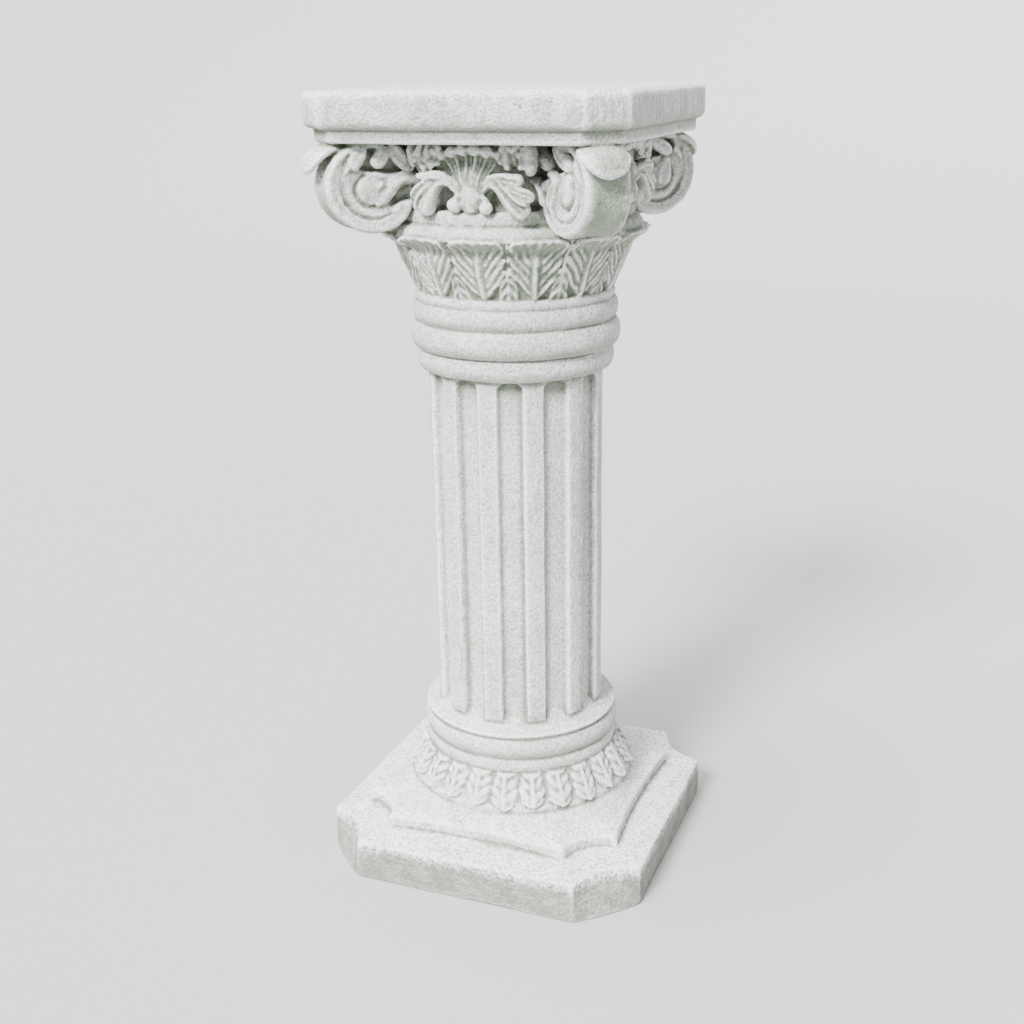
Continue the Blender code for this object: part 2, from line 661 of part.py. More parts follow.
def face_ornament():
    """Every mesh of the ornament on one face, with the face looking along -Y."""
    bulb_z = DRUM_Z + BULB_HEIGHT / 2 - LAP
    ball_z = DRUM_Z + BALL_RADIUS - BALL_SINK
    meshes = [shell()]
    meshes.append(ball("bulb", BULB_HALF, BULB_HEIGHT / 2, 0.0, LEDGE_RADIUS - LAP, bulb_z, 8))
    for side in (1, -1):
        meshes.append(ball("ball", BALL_RADIUS, BALL_RADIUS, side * BALL_SPREAD,
                           LEDGE_RADIUS - BALL_RADIUS / 2, ball_z))
        meshes.append(scroll_leaf(side))
        meshes.append(finger(side, (0.566, 0.0), (1.057, 0.019), 0.9))
        meshes.append(finger(side, (0.679, 0.113), (1.189, 0.302), 1.0))
        for spread in HANGING_SPREADS:
            meshes.append(hanging_lobe(side, spread))
    return meshes


def corner_ornament():
    """Every mesh of one corner of the capital, with the corner looking along -Y."""
    meshes = [volute(), volute_web(), tongue()]
    for side in (1, -1):
        meshes.append(stalk(side))
        meshes.append(lobe(side, (0.126, 0.905), (0.427, 0.327)))
        meshes.append(lobe(side, (-0.327, 0.905), (-0.10, 0.39)))
        meshes.append(lobe(side, (-0.528, 0.905), (-1.08, 0.314)))
    return meshes


def build():
    clear_scene()
    parts = new_collection("corinthian column")
    forms = new_collection("forms laid in")
    cutters = new_collection("flutes cut out")

    body = turned_body(parts)
    body.name = "column"
    flute = flute_cutter()
    for k in range(FLUTE_COUNT):
        place(flute, cutters, FLUTE_PHASE + math.tau * (k + 0.5) / FLUTE_COUNT)

    for mesh in (foot(), step(), slab("cushion", CUSHION_HALF, CUSHION_Z, CUSHION_HEIGHT + SINK),
                 slab("abacus", ABACUS_HALF, ABACUS_Z, ABACUS_HEIGHT)):
        place(mesh, forms)
    for mesh, count, phase in ((skirt_leaf(), SKIRT_LEAVES, SKIRT_PHASE),
                               (bell_leaf(), BELL_LEAVES, BELL_PHASE),
                               (bell_bud(), BELL_LEAVES, BELL_PHASE + math.pi / BELL_LEAVES)):
        for k in range(count):
            place(mesh, forms, phase + math.tau * k / count)
    for mesh in face_ornament():
        for k in range(4):
            place(mesh, forms, math.tau * k / 4)
    for mesh in corner_ornament():
        for k in range(4):
            place(mesh, forms, math.tau * (k + 0.5) / 4)

    for item in list(forms.objects) + list(cutters.objects):
        item.hide_render = True
        item.display_type = "WIRE"

    cut = body.modifiers.new("flutes", "BOOLEAN")
    cut.operation = "DIFFERENCE"
    cut.operand_type = "COLLECTION"
    cut.collection = cutters
    cut.solver = "EXACT"
    join = body.modifiers.new("one casting", "BOOLEAN")
    join.operation = "UNION"
    join.operand_type = "COLLECTION"
    join.collection = forms
    join.solver = "EXACT"
    lean = body.modifiers.new("fewer triangles", "DECIMATE")
    lean.ratio = TRIANGLES_KEPT
    body.data.materials.append(concrete())


build()
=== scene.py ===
"""Looks of a garden column of cast concrete in the Corinthian manner.

Metres, +Z up, the front along -Y. The casting is laid together from turned, lofted and swept
forms, made one skin by a voxel remesh, worn, and brought down to a mesh of a handy size.
"""
from math import cos, pi, radians, sin, sqrt, tau

import bmesh
import bpy
import numpy as np
from mathutils import Matrix, Vector
from mathutils.bvhtree import BVHTree


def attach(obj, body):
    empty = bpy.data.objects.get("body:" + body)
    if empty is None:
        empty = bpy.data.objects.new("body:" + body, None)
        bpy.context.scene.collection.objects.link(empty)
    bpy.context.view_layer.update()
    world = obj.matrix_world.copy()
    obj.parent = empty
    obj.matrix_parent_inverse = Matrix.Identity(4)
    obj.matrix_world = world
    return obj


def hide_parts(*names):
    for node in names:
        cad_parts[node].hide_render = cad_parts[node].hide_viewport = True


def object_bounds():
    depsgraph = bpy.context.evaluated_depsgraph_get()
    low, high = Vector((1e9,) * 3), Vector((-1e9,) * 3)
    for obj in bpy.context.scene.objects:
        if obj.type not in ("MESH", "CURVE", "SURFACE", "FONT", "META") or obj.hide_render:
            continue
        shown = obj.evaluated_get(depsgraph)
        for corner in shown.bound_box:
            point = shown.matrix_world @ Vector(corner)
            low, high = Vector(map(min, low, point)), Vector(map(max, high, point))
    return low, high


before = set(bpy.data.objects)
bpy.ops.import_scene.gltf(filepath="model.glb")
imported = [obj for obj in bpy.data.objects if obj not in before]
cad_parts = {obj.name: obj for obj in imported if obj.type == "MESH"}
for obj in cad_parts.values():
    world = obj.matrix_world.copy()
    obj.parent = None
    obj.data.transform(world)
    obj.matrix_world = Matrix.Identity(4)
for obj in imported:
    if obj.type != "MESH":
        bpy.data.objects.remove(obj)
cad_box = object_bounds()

# Height of each form, from the ground up
HEIGHT = {"foot": 0.0432, "foot slope": 0.0048, "step": 0.0120, "step slope": 0.0184, "skirt": 0.0328,
          "low band": 0.0160, "low torus": 0.0232, "flare": 0.0256, "shaft": 0.3528, "collar": 0.0224,
          "neck torus": 0.0272, "neck band": 0.0204, "neck thread": 0.0096, "bell": 0.0560,
          "lip": 0.0148, "ledge": 0.0128, "drum": 0.0616, "cushion": 0.0120}

# Radius of each round form, taken at the foot for the skirt and the bell
RADIUS = {"skirt": 0.1208, "low band": 0.1048, "low torus": 0.1060, "flare": 0.1024, "shaft": 0.0896,
          "collar": 0.1000, "neck torus": 0.1064, "neck band": 0.1040, "neck thread": 0.1008,
          "bell": 0.0962, "lip": 0.1270, "ledge": 0.1190, "drum": 0.1010}
MOULDING_DEPTH = 0.31
MOULDING_FULLNESS = 0.85
ROLL_HEIGHT = 0.0065

# Square forms
FOOT_CUT = 0.0540
FOOT_BULGE = 0.0030
FOOT_SCOOP = 0.0120
STEP_HALF = 0.1424
STEP_NOTCH = 0.0432
STEP_DRAW_IN = 0.0065
CUSHION_HALF = 0.1520
ABACUS_HALF = 0.1592
ABACUS_CUT = 0.0304
FOOT_WEAR = 0.0040
STEP_WEAR = 0.0035
SIDES = 4

# Flutes and leaves, counted round the column, with the direction of the first one
FLUTE_COUNT = 12
FLUTE_PHASE = radians(2.2)
FLUTE_DEPTH = 0.0074
RIDGE_ANGLE = radians(12.4)
RIDGE_END_DROP = 0.0120
FLUTE_HALF_ANGLE = (tau / FLUTE_COUNT - RIDGE_ANGLE) / 2
ARCH_GAP = 0.0004
ARCH_RISE = 0.62
SKIRT_LEAVES = 24
SKIRT_STEP = 0.0028
SKIRT_PHASE = radians(-3.3)
BELL_LEAVES = 13
BELL_PHASE = radians(4.5)

# Corner scrolls, in the diagonal planes
VOLUTE_REACH = 0.1970
VOLUTE_RADIUS = 0.0398
VOLUTE_EDGE_HALF = 0.0160
VOLUTE_SPREAD = 0.08
VOLUTE_LEAN = 0.0095
EYE_REACH = VOLUTE_REACH - VOLUTE_RADIUS

# Millimetres, in which the carving's places are given, and how many of them the ornament of each
# face stands off the middle
MM = 0.001
ORNAMENT_SHIFT = 4.5

# Fineness of the skin
VOXEL = 0.00105
MOST_TRIANGLES = 195000
SEED = 7
FLOOR_Z = -0.0002

TOP_Z = cad_box[1][2]
FOOT_HALF = cad_box[1][0] - 0.0006


def levels():
    """How high each form's foot lies."""
    z = 0.0
    found = {}
    for name, height in HEIGHT.items():
        found[name] = z
        z += height
    found["abacus"] = z
    return found


LEVEL = levels()
EYE_Z = LEVEL["cushion"] - VOLUTE_RADIUS + 0.0005


def ease(low, high, x):
    """0 below low, 1 above high and a smooth step between."""
    t = np.clip((np.asarray(x, float) - low) / (high - low), 0.0, 1.0)
    return t * t * (3 - 2 * t)


def hump(x, width):
    """A round ridge of height 1 along x = 0."""
    return np.exp(-(np.asarray(x, float) / width) ** 2)


def curve_through(stations, count):
    """A smooth curve through rows of numbers, read at evenly spaced places."""
    rows = np.array(stations, float)
    rows = np.vstack([2 * rows[0] - rows[1], rows, 2 * rows[-1] - rows[-2]])
    spans = len(rows) - 3
    at = np.linspace(0, spans, count)
    k = np.minimum(at.astype(int), spans - 1)
    t = (at - k)[:, None]
    a, b, c, d = rows[k], rows[k + 1], rows[k + 2], rows[k + 3]
    return 0.5 * (2 * b + (c - a) * t + (2 * a - 5 * b + 4 * c - d) * t ** 2
                  + (3 * b - a - 3 * c + d) * t ** 3)


class Noise:
    """Smooth random numbers from -1 to 1 in space, the same on each run."""

    def __init__(self, seed):
        self.cells = 32
        self.table = np.random.default_rng(seed).uniform(-1, 1, (self.cells,) * 3).astype(np.float32)

    def __call__(self, points, size):
        at = points / size
        low = np.floor(at).astype(int)
        t = at - low
        t = t * t * (3 - 2 * t)
        total = np.zeros(len(points))
        for corner in range(8):
            step = np.array([corner & 1, corner >> 1 & 1, corner >> 2 & 1])
            i, j, k = ((low + step) % self.cells).T
            weight = np.prod(np.where(step, t, 1 - t), axis=1)
            total += weight * self.table[i, j, k]
        return total


class Heap:
    """Closed forms that lie in each other, gathered as one mesh."""

    def __init__(self):
        self.points, self.quads, self.tris, self.count = [], [], [], 0

    def tube(self, rows):
        """A closed form from rings of points, its two ends closed by fans."""
        rows = np.asarray(rows, float)
        high, around = rows.shape[:2]
        self.points += [rows.reshape(-1, 3), rows[0].mean(0)[None], rows[-1].mean(0)[None]]
        r, i = np.mgrid[0:high - 1, 0:around]
        j = (i + 1) % around
        low, up = r * around, (r + 1) * around
        quads = np.stack([low + i, low + j, up + j, up + i], -1)
        self.quads.append(self.count + quads.reshape(-1, 4))
        i = np.arange(around)
        j = (i + 1) % around
        last = high * around
        end = last - around
        self.tris.append(self.count + np.stack([j, i, np.full(around, last)], -1))
        self.tris.append(self.count + np.stack([end + i, end + j, np.full(around, last + 1)], -1))
        self.count += last + 2

    def turned_copies(self, rows, offset=0.0):
        """The same form on each side of the column."""
        for k in range(SIDES):
            self.tube(turn(rows, tau * (k + offset) / SIDES))

    def mesh(self, name):
        """All the forms as one mesh."""
        points = np.vstack(self.points)
        quads, tris = np.vstack(self.quads), np.vstack(self.tris)
        mesh = bpy.data.meshes.new(name)
        mesh.vertices.add(len(points))
        mesh.vertices.foreach_set("co", points.astype(np.float32).ravel())
        corners = np.concatenate([quads.ravel(), tris.ravel()])
        mesh.loops.add(len(corners))
        mesh.loops.foreach_set("vertex_index", corners.astype(np.int32))
        starts = np.concatenate([np.arange(len(quads)) * 4, quads.size + np.arange(len(tris)) * 3])
        mesh.polygons.add(len(starts))
        mesh.polygons.foreach_set("loop_start", starts.astype(np.int32))
        mesh.update(calc_edges=True)
        return mesh


def turn(points, angle):
    """Points turned about the column's axis."""
    c, s = cos(angle), sin(angle)
    points = np.asarray(points, float)
    x, y = points[..., 0], points[..., 1]
    return np.stack([x * c - y * s, x * s + y * c, points[..., 2]], -1)


def turning(around):
    """Evenly spaced directions, once round."""
    return tau * np.arange(around) / around


def rings(radius, z, around):
    """Rings about the axis: radius and z are arrays of (level,) or (level, around)."""
    angle = turning(around)
    radius, z = (np.asarray(values, float).reshape(len(values), -1) for values in (radius, z))
    radius, z = (np.broadcast_to(values, (len(values), around)) for values in (radius, z))
    return np.stack([radius * np.sin(angle), -radius * np.cos(angle), z], -1)


# Turned forms

def half_round(name):
    """A half round moulding from its top groove to its lower groove."""
    angle = np.linspace(0, pi, 20)
    out = RADIUS[name] - MOULDING_DEPTH * HEIGHT[name] * (1 - np.sin(angle) ** MOULDING_FULLNESS)
    return list(zip(out, LEVEL[name] + HEIGHT[name] * (1 + np.cos(angle)) / 2))


def bell_radius(t):
    """The bell's bare surface, by the share of its height."""
    t = np.clip(t, 0, 1)
    return RADIUS["bell"] + (RADIUS["lip"] - RADIUS["bell"]) * (0.74 * t + 0.26 * t ** 5)


def flare_radius(z):
    """The hollow curve by which the shaft runs out into its base."""
    floor = RADIUS["shaft"] - FLUTE_DEPTH
    u = np.clip((LEVEL["shaft"] - z) / (HEIGHT["flare"] - ROLL_HEIGHT), 0, 1)
    return floor + (RADIUS["flare"] - floor) * (1 - np.sqrt(1 - u * u * 0.98))


def core(heap):
    """Everything turned, with plain surfaces, from the drum down to the plinth."""
    drum, ledge, lip = (RADIUS[name] for name in ("drum", "ledge", "lip"))
    drum_z, ledge_z, lip_z = (LEVEL[name] for name in ("drum", "ledge", "lip"))
    profile = [(drum, LEVEL["cushion"] + 0.004), (drum, drum_z + 0.003), (drum + 0.003, drum_z),
               (ledge - 0.002, drum_z), (ledge, drum_z - 0.003), (ledge + 0.0008, ledge_z + 0.0030),
               (ledge - 0.0004, ledge_z + 0.0010), (ledge + 0.002, ledge_z - 0.0012),
               (lip - 0.003, ledge_z - 0.0022), (lip, ledge_z - 0.0060), (lip + 0.0018, lip_z + 0.0016)]
    for t in np.linspace(1.0, 0.0, 12):
        profile.append((bell_radius(t) - 0.002, LEVEL["bell"] + HEIGHT["bell"] * t))
    for name in ("neck thread", "neck band", "neck torus", "collar"):
        profile += half_round(name)
    inner = RADIUS["shaft"] - FLUTE_DEPTH - 0.004
    profile += [(inner, LEVEL["collar"] - 0.002), (inner, LEVEL["shaft"] - 0.004)]
    for z in np.linspace(LEVEL["shaft"] - 0.006, LEVEL["flare"] + ROLL_HEIGHT, 12):
        profile.append((flare_radius(z), z))
    roll = ((0.0, 0.0058), (0.0016, 0.0046), (0.0018, 0.0030), (0.0006, 0.0014), (-0.0032, 0.0006))
    for out, up in roll:
        profile.append((RADIUS["flare"] + out, LEVEL["flare"] + up))
    profile += half_round("low torus") + half_round("low band")
    inner = RADIUS["low band"] - 0.004
    profile += [(inner, LEVEL["low band"] - 0.002), (inner, LEVEL["step"])]
    out, z = np.array(profile).T
    heap.tube(rings(out, z, 300))


def shaft(heap):
    """The fluted shaft: flutes with round heads that run out at the foot, between flat ridges."""
    around = 720
    pitch = tau / FLUTE_COUNT
    rise = ARCH_RISE * RADIUS["shaft"] * sin(FLUTE_HALF_ANGLE)
    arch = LEVEL["collar"] - ARCH_GAP - rise
    ridge_end = LEVEL["shaft"] - RIDGE_END_DROP
    z = np.concatenate([[ridge_end - 0.004, ridge_end - 0.0004, ridge_end + 0.0004],
                        np.linspace(ridge_end + 0.001, LEVEL["shaft"], 10),
                        np.linspace(LEVEL["shaft"], arch, 90)[1:],
                        np.linspace(arch, LEVEL["collar"] + 0.004, 34)[1:]])[:, None]
    across = (turning(around) - FLUTE_PHASE) % pitch - pitch / 2
    t = np.hypot(across / FLUTE_HALF_ANGLE, np.maximum(z - arch, 0) / rise)
    sunk = (1 - ease(0.88, 1.02, t)) * FLUTE_DEPTH * (1.14 - 0.44 * np.minimum(t, 1) ** 2)
    crown = 0.0006 * (np.abs(across) / (pitch / 2) - 1) ** 2
    radius = np.maximum(RADIUS["shaft"] - crown - sunk, flare_radius(z) + 0.0001)
    radius = np.where(z < ridge_end, flare_radius(z) - 0.0002, radius)
    heap.tube(rings(radius, z[:, 0], around))


def leaf_phase(angle, count, phase):
    """Across each leaf from -1 to 1, and which leaf it is."""
    pitch = tau / count
    at = (angle - phase) / pitch + 0.5
    return (at % 1) * 2 - 1, np.floor(at).astype(int) % count


def uneven(radius, angle, z, size, seed):
    """Smooth random numbers over a turned surface."""
    places = np.stack(np.broadcast_arrays(radius * np.sin(angle), radius * np.cos(angle), z), -1)
    return Noise(seed)(places.reshape(-1, 3), size).reshape(places.shape[:-1])


def bell_leaves(heap):
    """The ring of acanthus leaves, carved on the bell and curling out at the lip."""
    around = 1300
    t = np.linspace(0.0, 1.16, 116)[:, None]
    angle = turning(around)[None]
    u, which = leaf_phase(angle, BELL_LEAVES, BELL_PHASE)
    rng = np.random.default_rng(SEED)
    lean = rng.uniform(-0.07, 0.07, BELL_LEAVES)[which]
    lift = rng.uniform(-0.15, 0.15, BELL_LEAVES)[which]
    stray = uneven(RADIUS["lip"], angle, HEIGHT["bell"] * t, 0.013, SEED + 5)
    rough = uneven(RADIUS["lip"], angle, HEIGHT["bell"] * t, 0.0055, SEED + 6)
    side = np.abs(u + lean * np.sin(pi * np.minimum(t, 1)) + 0.035 * stray)

    # The leaf's outline, its lobes and the ribs between them
    lobe_at = 6.0 * (t - (0.40 + 0.26 * t) * side) + 0.35 + lift + 0.10 * np.sign(u) + 0.26 * stray
    lobe = np.abs(np.sin(pi * lobe_at))
    width = np.interp(t, [0, 0.12, 0.3, 0.5, 0.7, 0.9, 1.0, 1.16],
                      [0.16, 0.36, 0.72, 0.99, 0.97, 0.93, 0.90, 0.80])
    width = width - 0.13 * (1 - lobe ** 0.8) * (t < 0.93) + 0.04 * rough
    inside = 1 - ease(width - 0.07, width + 0.015, side)
    grooves = (1 - lobe) * ease(0.10, 0.26, side) * (1 - ease(0.90, 0.99, t)) * (0.85 + 0.45 * rough)
    beside_rib = 1.2 * hump(side - 0.15, 0.05) * (1 - ease(0.6, 0.8, t))
    midrib = hump(side, 0.06) * (1 - ease(0.70, 0.92, t)) - beside_rib

    # The curl at the lip: a hollow below, fluted, and a scalloped crest
    hollow = hump(t - 0.84, 0.12) * (1 - 0.45 * side ** 2)
    fan = hump(t - 0.86, 0.12) * np.abs(np.cos(pi * 4.5 * side)) ** 0.6
    crest = hump(t - 0.985, 0.072) * (1 - ease(0.45, 1.0, side) * 0.6) * (1 + 0.34 * rough + 0.20 * stray)
    scallop = 1 - np.abs(np.sin(pi * (3.5 * side + 0.5 + 0.18 * stray))) ** 0.7
    raised = 0.0056 + 0.0015 * midrib - 0.0054 * hollow - 0.0040 * grooves + 0.0016 * fan + 0.0006 * rough
    raised = inside * raised + inside * crest * (0.0047 - 0.0032 * scallop)

    # The small leaf that fills the gap between two large ones
    from_gap = 1 - side
    bud_width = 0.46 * np.sqrt(np.clip(1 - (t / 0.47) ** 1.7, 0, 1)) + 1e-6
    in_bud = 1 - ease(0.74, 1.0, from_gap / bud_width)
    bud_lobe = np.abs(np.sin(pi * (5.4 * (t + 0.55 * from_gap) + 0.3 + 0.25 * stray)))
    bud = in_bud * (0.0052 - 0.0036 * (1 - bud_lobe) * ease(0.02, 0.10, from_gap) + 0.0006 * rough)
    raised = np.maximum(raised, bud) * (1 - ease(1.03, 1.15, t)) * ease(-0.01, 0.03, t)
    z = LEVEL["bell"] + HEIGHT["bell"] * np.minimum(t, 1.0) + 0.0070 * np.maximum(t - 1.0, 0) / 0.16
    z = z + 0.0022 * crest - 0.0040 * ease(0.6, 1.0, side) * hump(t - 1.0, 0.12)
    radius = bell_radius(t) + raised - 0.0014 - 0.004 * ease(1.08, 1.16, t)
    heap.tube(rings(radius, z, around))


def skirt_leaves(heap):
    """The ring of small leaves that hang over the foot of the base."""
    around = 1340
    foot_out, top_out = RADIUS["skirt"], RADIUS["low band"]
    t = np.linspace(0.0, 1.25, 78)[:, None]
    angle = turning(around)[None]
    u, which = leaf_phase(angle, SKIRT_LEAVES, SKIRT_PHASE)
    rng = np.random.default_rng(SEED + 1)
    drop = rng.uniform(-0.05, 0.05, SKIRT_LEAVES)[which]
    lean = rng.uniform(-0.08, 0.08, SKIRT_LEAVES)[which]
    stray = uneven(top_out, angle, HEIGHT["skirt"] * t, 0.008, SEED + 7)
    u = u + lean * t + 0.07 * stray
    side = np.abs(u)

    # The leaf's outline with its teeth
    end = 0.960 + drop
    taper = np.sqrt(np.clip(1 - (np.maximum(t - 0.50, 0) / (end - 0.50)) ** 3.0, 0, 1))
    tooth = np.abs(np.sin(pi * (3.2 * (t + 0.34 * side) + 0.30 * stray)))
    width = (0.82 + 0.12 * ease(0.0, 0.4, t)) * taper - 0.09 * (1 - tooth) * (t < 0.9)
    width = np.maximum(width, 1e-4)
    inside = 1 - ease(0.84, 1.04, side / width)

    # Its veins and its swell
    veins = (1 - tooth ** 0.9) * ease(0.10, 0.26, side)
    tip_veins = hump(t - 0.88, 0.10) * (1 - np.abs(np.sin(pi * (u * 3.0 + 0.5))) ** 0.5) * 0.6
    beside_rib = 0.9 * hump(side - 0.22, 0.06) * (1 - ease(0.5, 0.75, t))
    midrib = hump(u, 0.10) * (1 - ease(0.62, 0.85, t)) - beside_rib
    plump = np.sqrt(np.clip(1 - (side / np.maximum(width, 0.05)) ** 2, 0, 1))
    raised = 0.0024 + 0.0034 * plump * (0.7 + 0.5 * t) + 0.0013 * midrib
    raised = inside * (raised - 0.0031 * veins - 0.0018 * tip_veins + 0.0006 * stray)

    z = LEVEL["low band"] + 0.001 - (HEIGHT["skirt"] + 0.0003) * np.minimum(t, 1)
    z = z - 0.02 * np.maximum(t - 1, 0)
    run = foot_out + 0.0018 - top_out
    base = top_out - 0.0018 + run * np.minimum(t, 1) ** 1.12 + 0.0006 * ease(0.9, 1.0, t)
    radius = base + raised * (1 - ease(1.0, 1.1, t))
    heap.tube(rings(radius, np.broadcast_to(z, radius.shape), around))


# Square forms

def bow(start, end, inward, sagitta, count):
    """Points on a shallow arc between two corners of an outline."""
    t = np.linspace(0, 1, count)[:, None]
    return start + (end - start) * t + np.asarray(inward) * 4 * t * (1 - t) * sagitta


def bowed_corner(cut, sagitta):
    """A corner cut across, hollow where the sagitta is positive, swelling where negative."""
    def corner(half, count):
        start = np.array([half - cut, -half])
        end = np.array([half, cut - half])
        return bow(start, end, (-sqrt(0.5), sqrt(0.5)), sagitta, count)
    return corner


def notched_corner(radius):
    """A corner with a round notch about the square's own corner."""
    def corner(half, count):
        angle = np.linspace(0, pi / 2, count)
        return np.stack([half - radius * np.cos(angle), radius * np.sin(angle) - half], -1)
    return corner


def square_ring(half, corner, draw_in, z):
    """A square with shaped corners at height z; corner() gives the points of the front right one."""
    corner_points, side_points = 28, 56
    ring = []
    for quarter in range(SIDES):
        points = corner(half, corner_points)
        start, end = points[-1], np.array([half, points[0][0]])
        side = bow(start, end, (-1.0, 0.0), draw_in, side_points + 2)[1:-1]
        flat = np.vstack([points, side])
        ring.append(turn(np.column_stack([flat, np.full(len(flat), z)]), tau * quarter / SIDES))
    return np.vstack(ring)


def circle_like(ring, radius, z):
    """The circle whose points lie at the same angles as those of a ring."""
    out = ring[:, :2] * (radius / np.hypot(ring[:, 0], ring[:, 1]))[:, None]
    return np.column_stack([out, np.full(len(ring), z)])


def worn_arris(half, corner, draw_in, top, wear):
    """Rings that lead round the worn upper arris of a square form."""
    rows = []
    for t in np.linspace(0, 1, 6)[1:]:
        angle = t * pi / 2
        back = wear * (1 - cos(angle))
        rows.append(square_ring(half - back, corner, draw_in, top - wear + wear * sin(angle)))
    return rows


def foot(heap):
    """The lower plinth: cut corners, flat at the ground and scooped at the top."""
    top = HEIGHT["foot"]
    rows = []
    for t in np.linspace(0, 1, 16):
        corner = bowed_corner(FOOT_CUT, -FOOT_BULGE + (FOOT_SCOOP + FOOT_BULGE) * t)
        rows.append(square_ring(FOOT_HALF, corner, 0.0, (top - FOOT_WEAR) * t))
    rows += worn_arris(FOOT_HALF, bowed_corner(FOOT_CUT, FOOT_SCOOP), 0.0, top, FOOT_WEAR)
    notch = notched_corner(STEP_NOTCH)
    rows.append(square_ring(STEP_HALF - 0.006, notch, STEP_DRAW_IN, LEVEL["step"] + 0.0004))
    heap.tube(rows)


def step(heap):
    """The upper plinth, with round notches at its corners, rising to the foot of the shaft."""
    notch = notched_corner(STEP_NOTCH)
    edge = square_ring(STEP_HALF, notch, STEP_DRAW_IN, 0.0)
    top = LEVEL["step slope"]
    slope_end = LEVEL["skirt"] - SKIRT_STEP
    rows = [square_ring(STEP_HALF + 0.0006, notch, STEP_DRAW_IN, LEVEL["step"] - 0.004),
            square_ring(STEP_HALF, notch, STEP_DRAW_IN, top - STEP_WEAR)]
    rows += worn_arris(STEP_HALF, notch, STEP_DRAW_IN, top, STEP_WEAR)
    low, high = rows[-1], circle_like(edge, RADIUS["skirt"] - 0.001, slope_end)
    for t in np.linspace(0, 1, 16)[1:]:
        for _ in range(4):
            low = (np.roll(low, 1, axis=0) + 2 * low + np.roll(low, -1, axis=0)) / 4
        ring = low + (high - low) * t
        ring[:, 2] = top + (slope_end - top) * (0.80 * t + 0.20 * t * t)
        rows.append(ring)
    rows.append(circle_like(edge, RADIUS["low band"] - 0.006, LEVEL["skirt"] + 0.002))
    heap.tube(rows)


def slab(heap, half, cut, low, high, wear):
    """A square slab with cut corners and rounded arrises."""
    corner = bowed_corner(cut, 0.0)
    angles = np.linspace(0, 1, 5) * pi / 2
    rises = [(1 - sin(angle), low + wear * (1 - cos(angle))) for angle in angles]
    rises += [(1 - cos(angle), high - wear * (1 - sin(angle))) for angle in angles]
    heap.tube([square_ring(half - wear * back, corner, 0.0, z) for back, z in rises])


# Scrolls at the corners. Side 1 and side -1 are the two faces of a scroll. Places on a face are
# given in millimetres about the eye: outward from the column's axis, and up.

def volute_half(reach, side=-1):
    """How far a scroll's face lies from its diagonal plane, growing towards the column."""
    return VOLUTE_EDGE_HALF + VOLUTE_SPREAD * (VOLUTE_REACH - reach) + VOLUTE_LEAN * (side > 0)


def away_from(at, path):
    """How far places lie from a smooth path, in half widths of it, and how far along they are."""
    count = 36
    way = curve_through(path, count)
    nearest = np.full(at.shape[:-1], 1e9)
    along = np.zeros(at.shape[:-1])
    for k in range(count - 1):
        start, end = way[k], way[k + 1]
        step = end[:2] - start[:2]
        t = np.clip((at - start[:2]) @ step / max(step @ step, 1e-9), 0, 1)
        gap = np.linalg.norm(at - start[:2] - t[..., None] * step, axis=-1)
        gap = gap / (start[2] + (end[2] - start[2]) * t)
        closer = gap < nearest
        nearest = np.where(closer, gap, nearest)
        along = np.where(closer, (k + t) / (count - 1), along)
    return nearest, along


# Lines cut into a face (half width last) and the hollows between its forms
CHANNEL_LINE = ((22, 22, 1.3), (26, 9, 1.3), (26, -5, 1.3), (20, -16.5, 1.4), (11, -25, 1.4),
                (-1, -29.5, 1.4), (-12, -29, 1.3), (-21, -25, 1.2))
EYE_LINE = ((4, 11, 1.2), (10, 5, 1.3), (13, -3, 1.3), (10, -11, 1.3), (4, -17, 1.4),
            (-4, -18.5, 1.3), (-9, -16, 1.2))
BAND_CREST = ((19, 14, 3.5), (19.5, 3, 3.6), (18, -6, 3.8), (13, -14, 4), (5, -22, 4),
              (-5, -25, 3.8), (-15, -24, 3))
UPPER_HOLLOW = {1: ((14, 24, 7), (0, 24, 11), (-16, 22, 11), (-32, 21, 11), (-52, 20, 13)),
                -1: ((8, 25, 7), (-8, 24, 10), (-24, 21, 11), (-40, 18, 13), (-56, 14, 14))}
LOWER_HOLLOW = {1: ((-18, -19, 3), (-25, -12.5, 5), (-35, -7, 8), (-50, -4, 11)),
                -1: ((-30, -24, 2.5), (-36, -16, 4), (-40, -8, 5), (-52, -12, 8))}


def volute_relief(at, share, side):
    """How far the carving on a scroll's face stands proud, in millimetres."""
    inner = np.hypot(at[..., 0] + 2.8, at[..., 1] + 3.1)
    proud = -1.6 * ease(0.955, 1.0, share) + 1.0 * hump(share - 0.93, 0.035)
    proud = proud - 0.9 * hump(share - 0.80, 0.05) - 2.3 * (1 - ease(27.0, 29.0, inner))
    proud = proud + 1.5 * hump(away_from(at, BAND_CREST)[0], 1.0)
    for line, depth in ((CHANNEL_LINE, 2.2), (EYE_LINE, 3.0)):
        proud = proud - depth * hump(away_from(at, line)[0], 1.25)
    from_eye = np.hypot(at[..., 0] + 1, at[..., 1] + 4) / 13.5
    proud = proud + 2.4 * np.sqrt(np.clip(1 - from_eye ** 2, 0, 1))
    for hollow, depth, fade in ((UPPER_HOLLOW[side], 12.5, 0.05), (LOWER_HOLLOW[side], 10.5, 0.45)):
        gap, along = away_from(at, hollow)
        floor = -depth * ease(-0.2, fade, along)
        proud = proud + (np.minimum(floor, proud) - proud) * (1 - ease(0.72, 1.04, gap))
    return proud


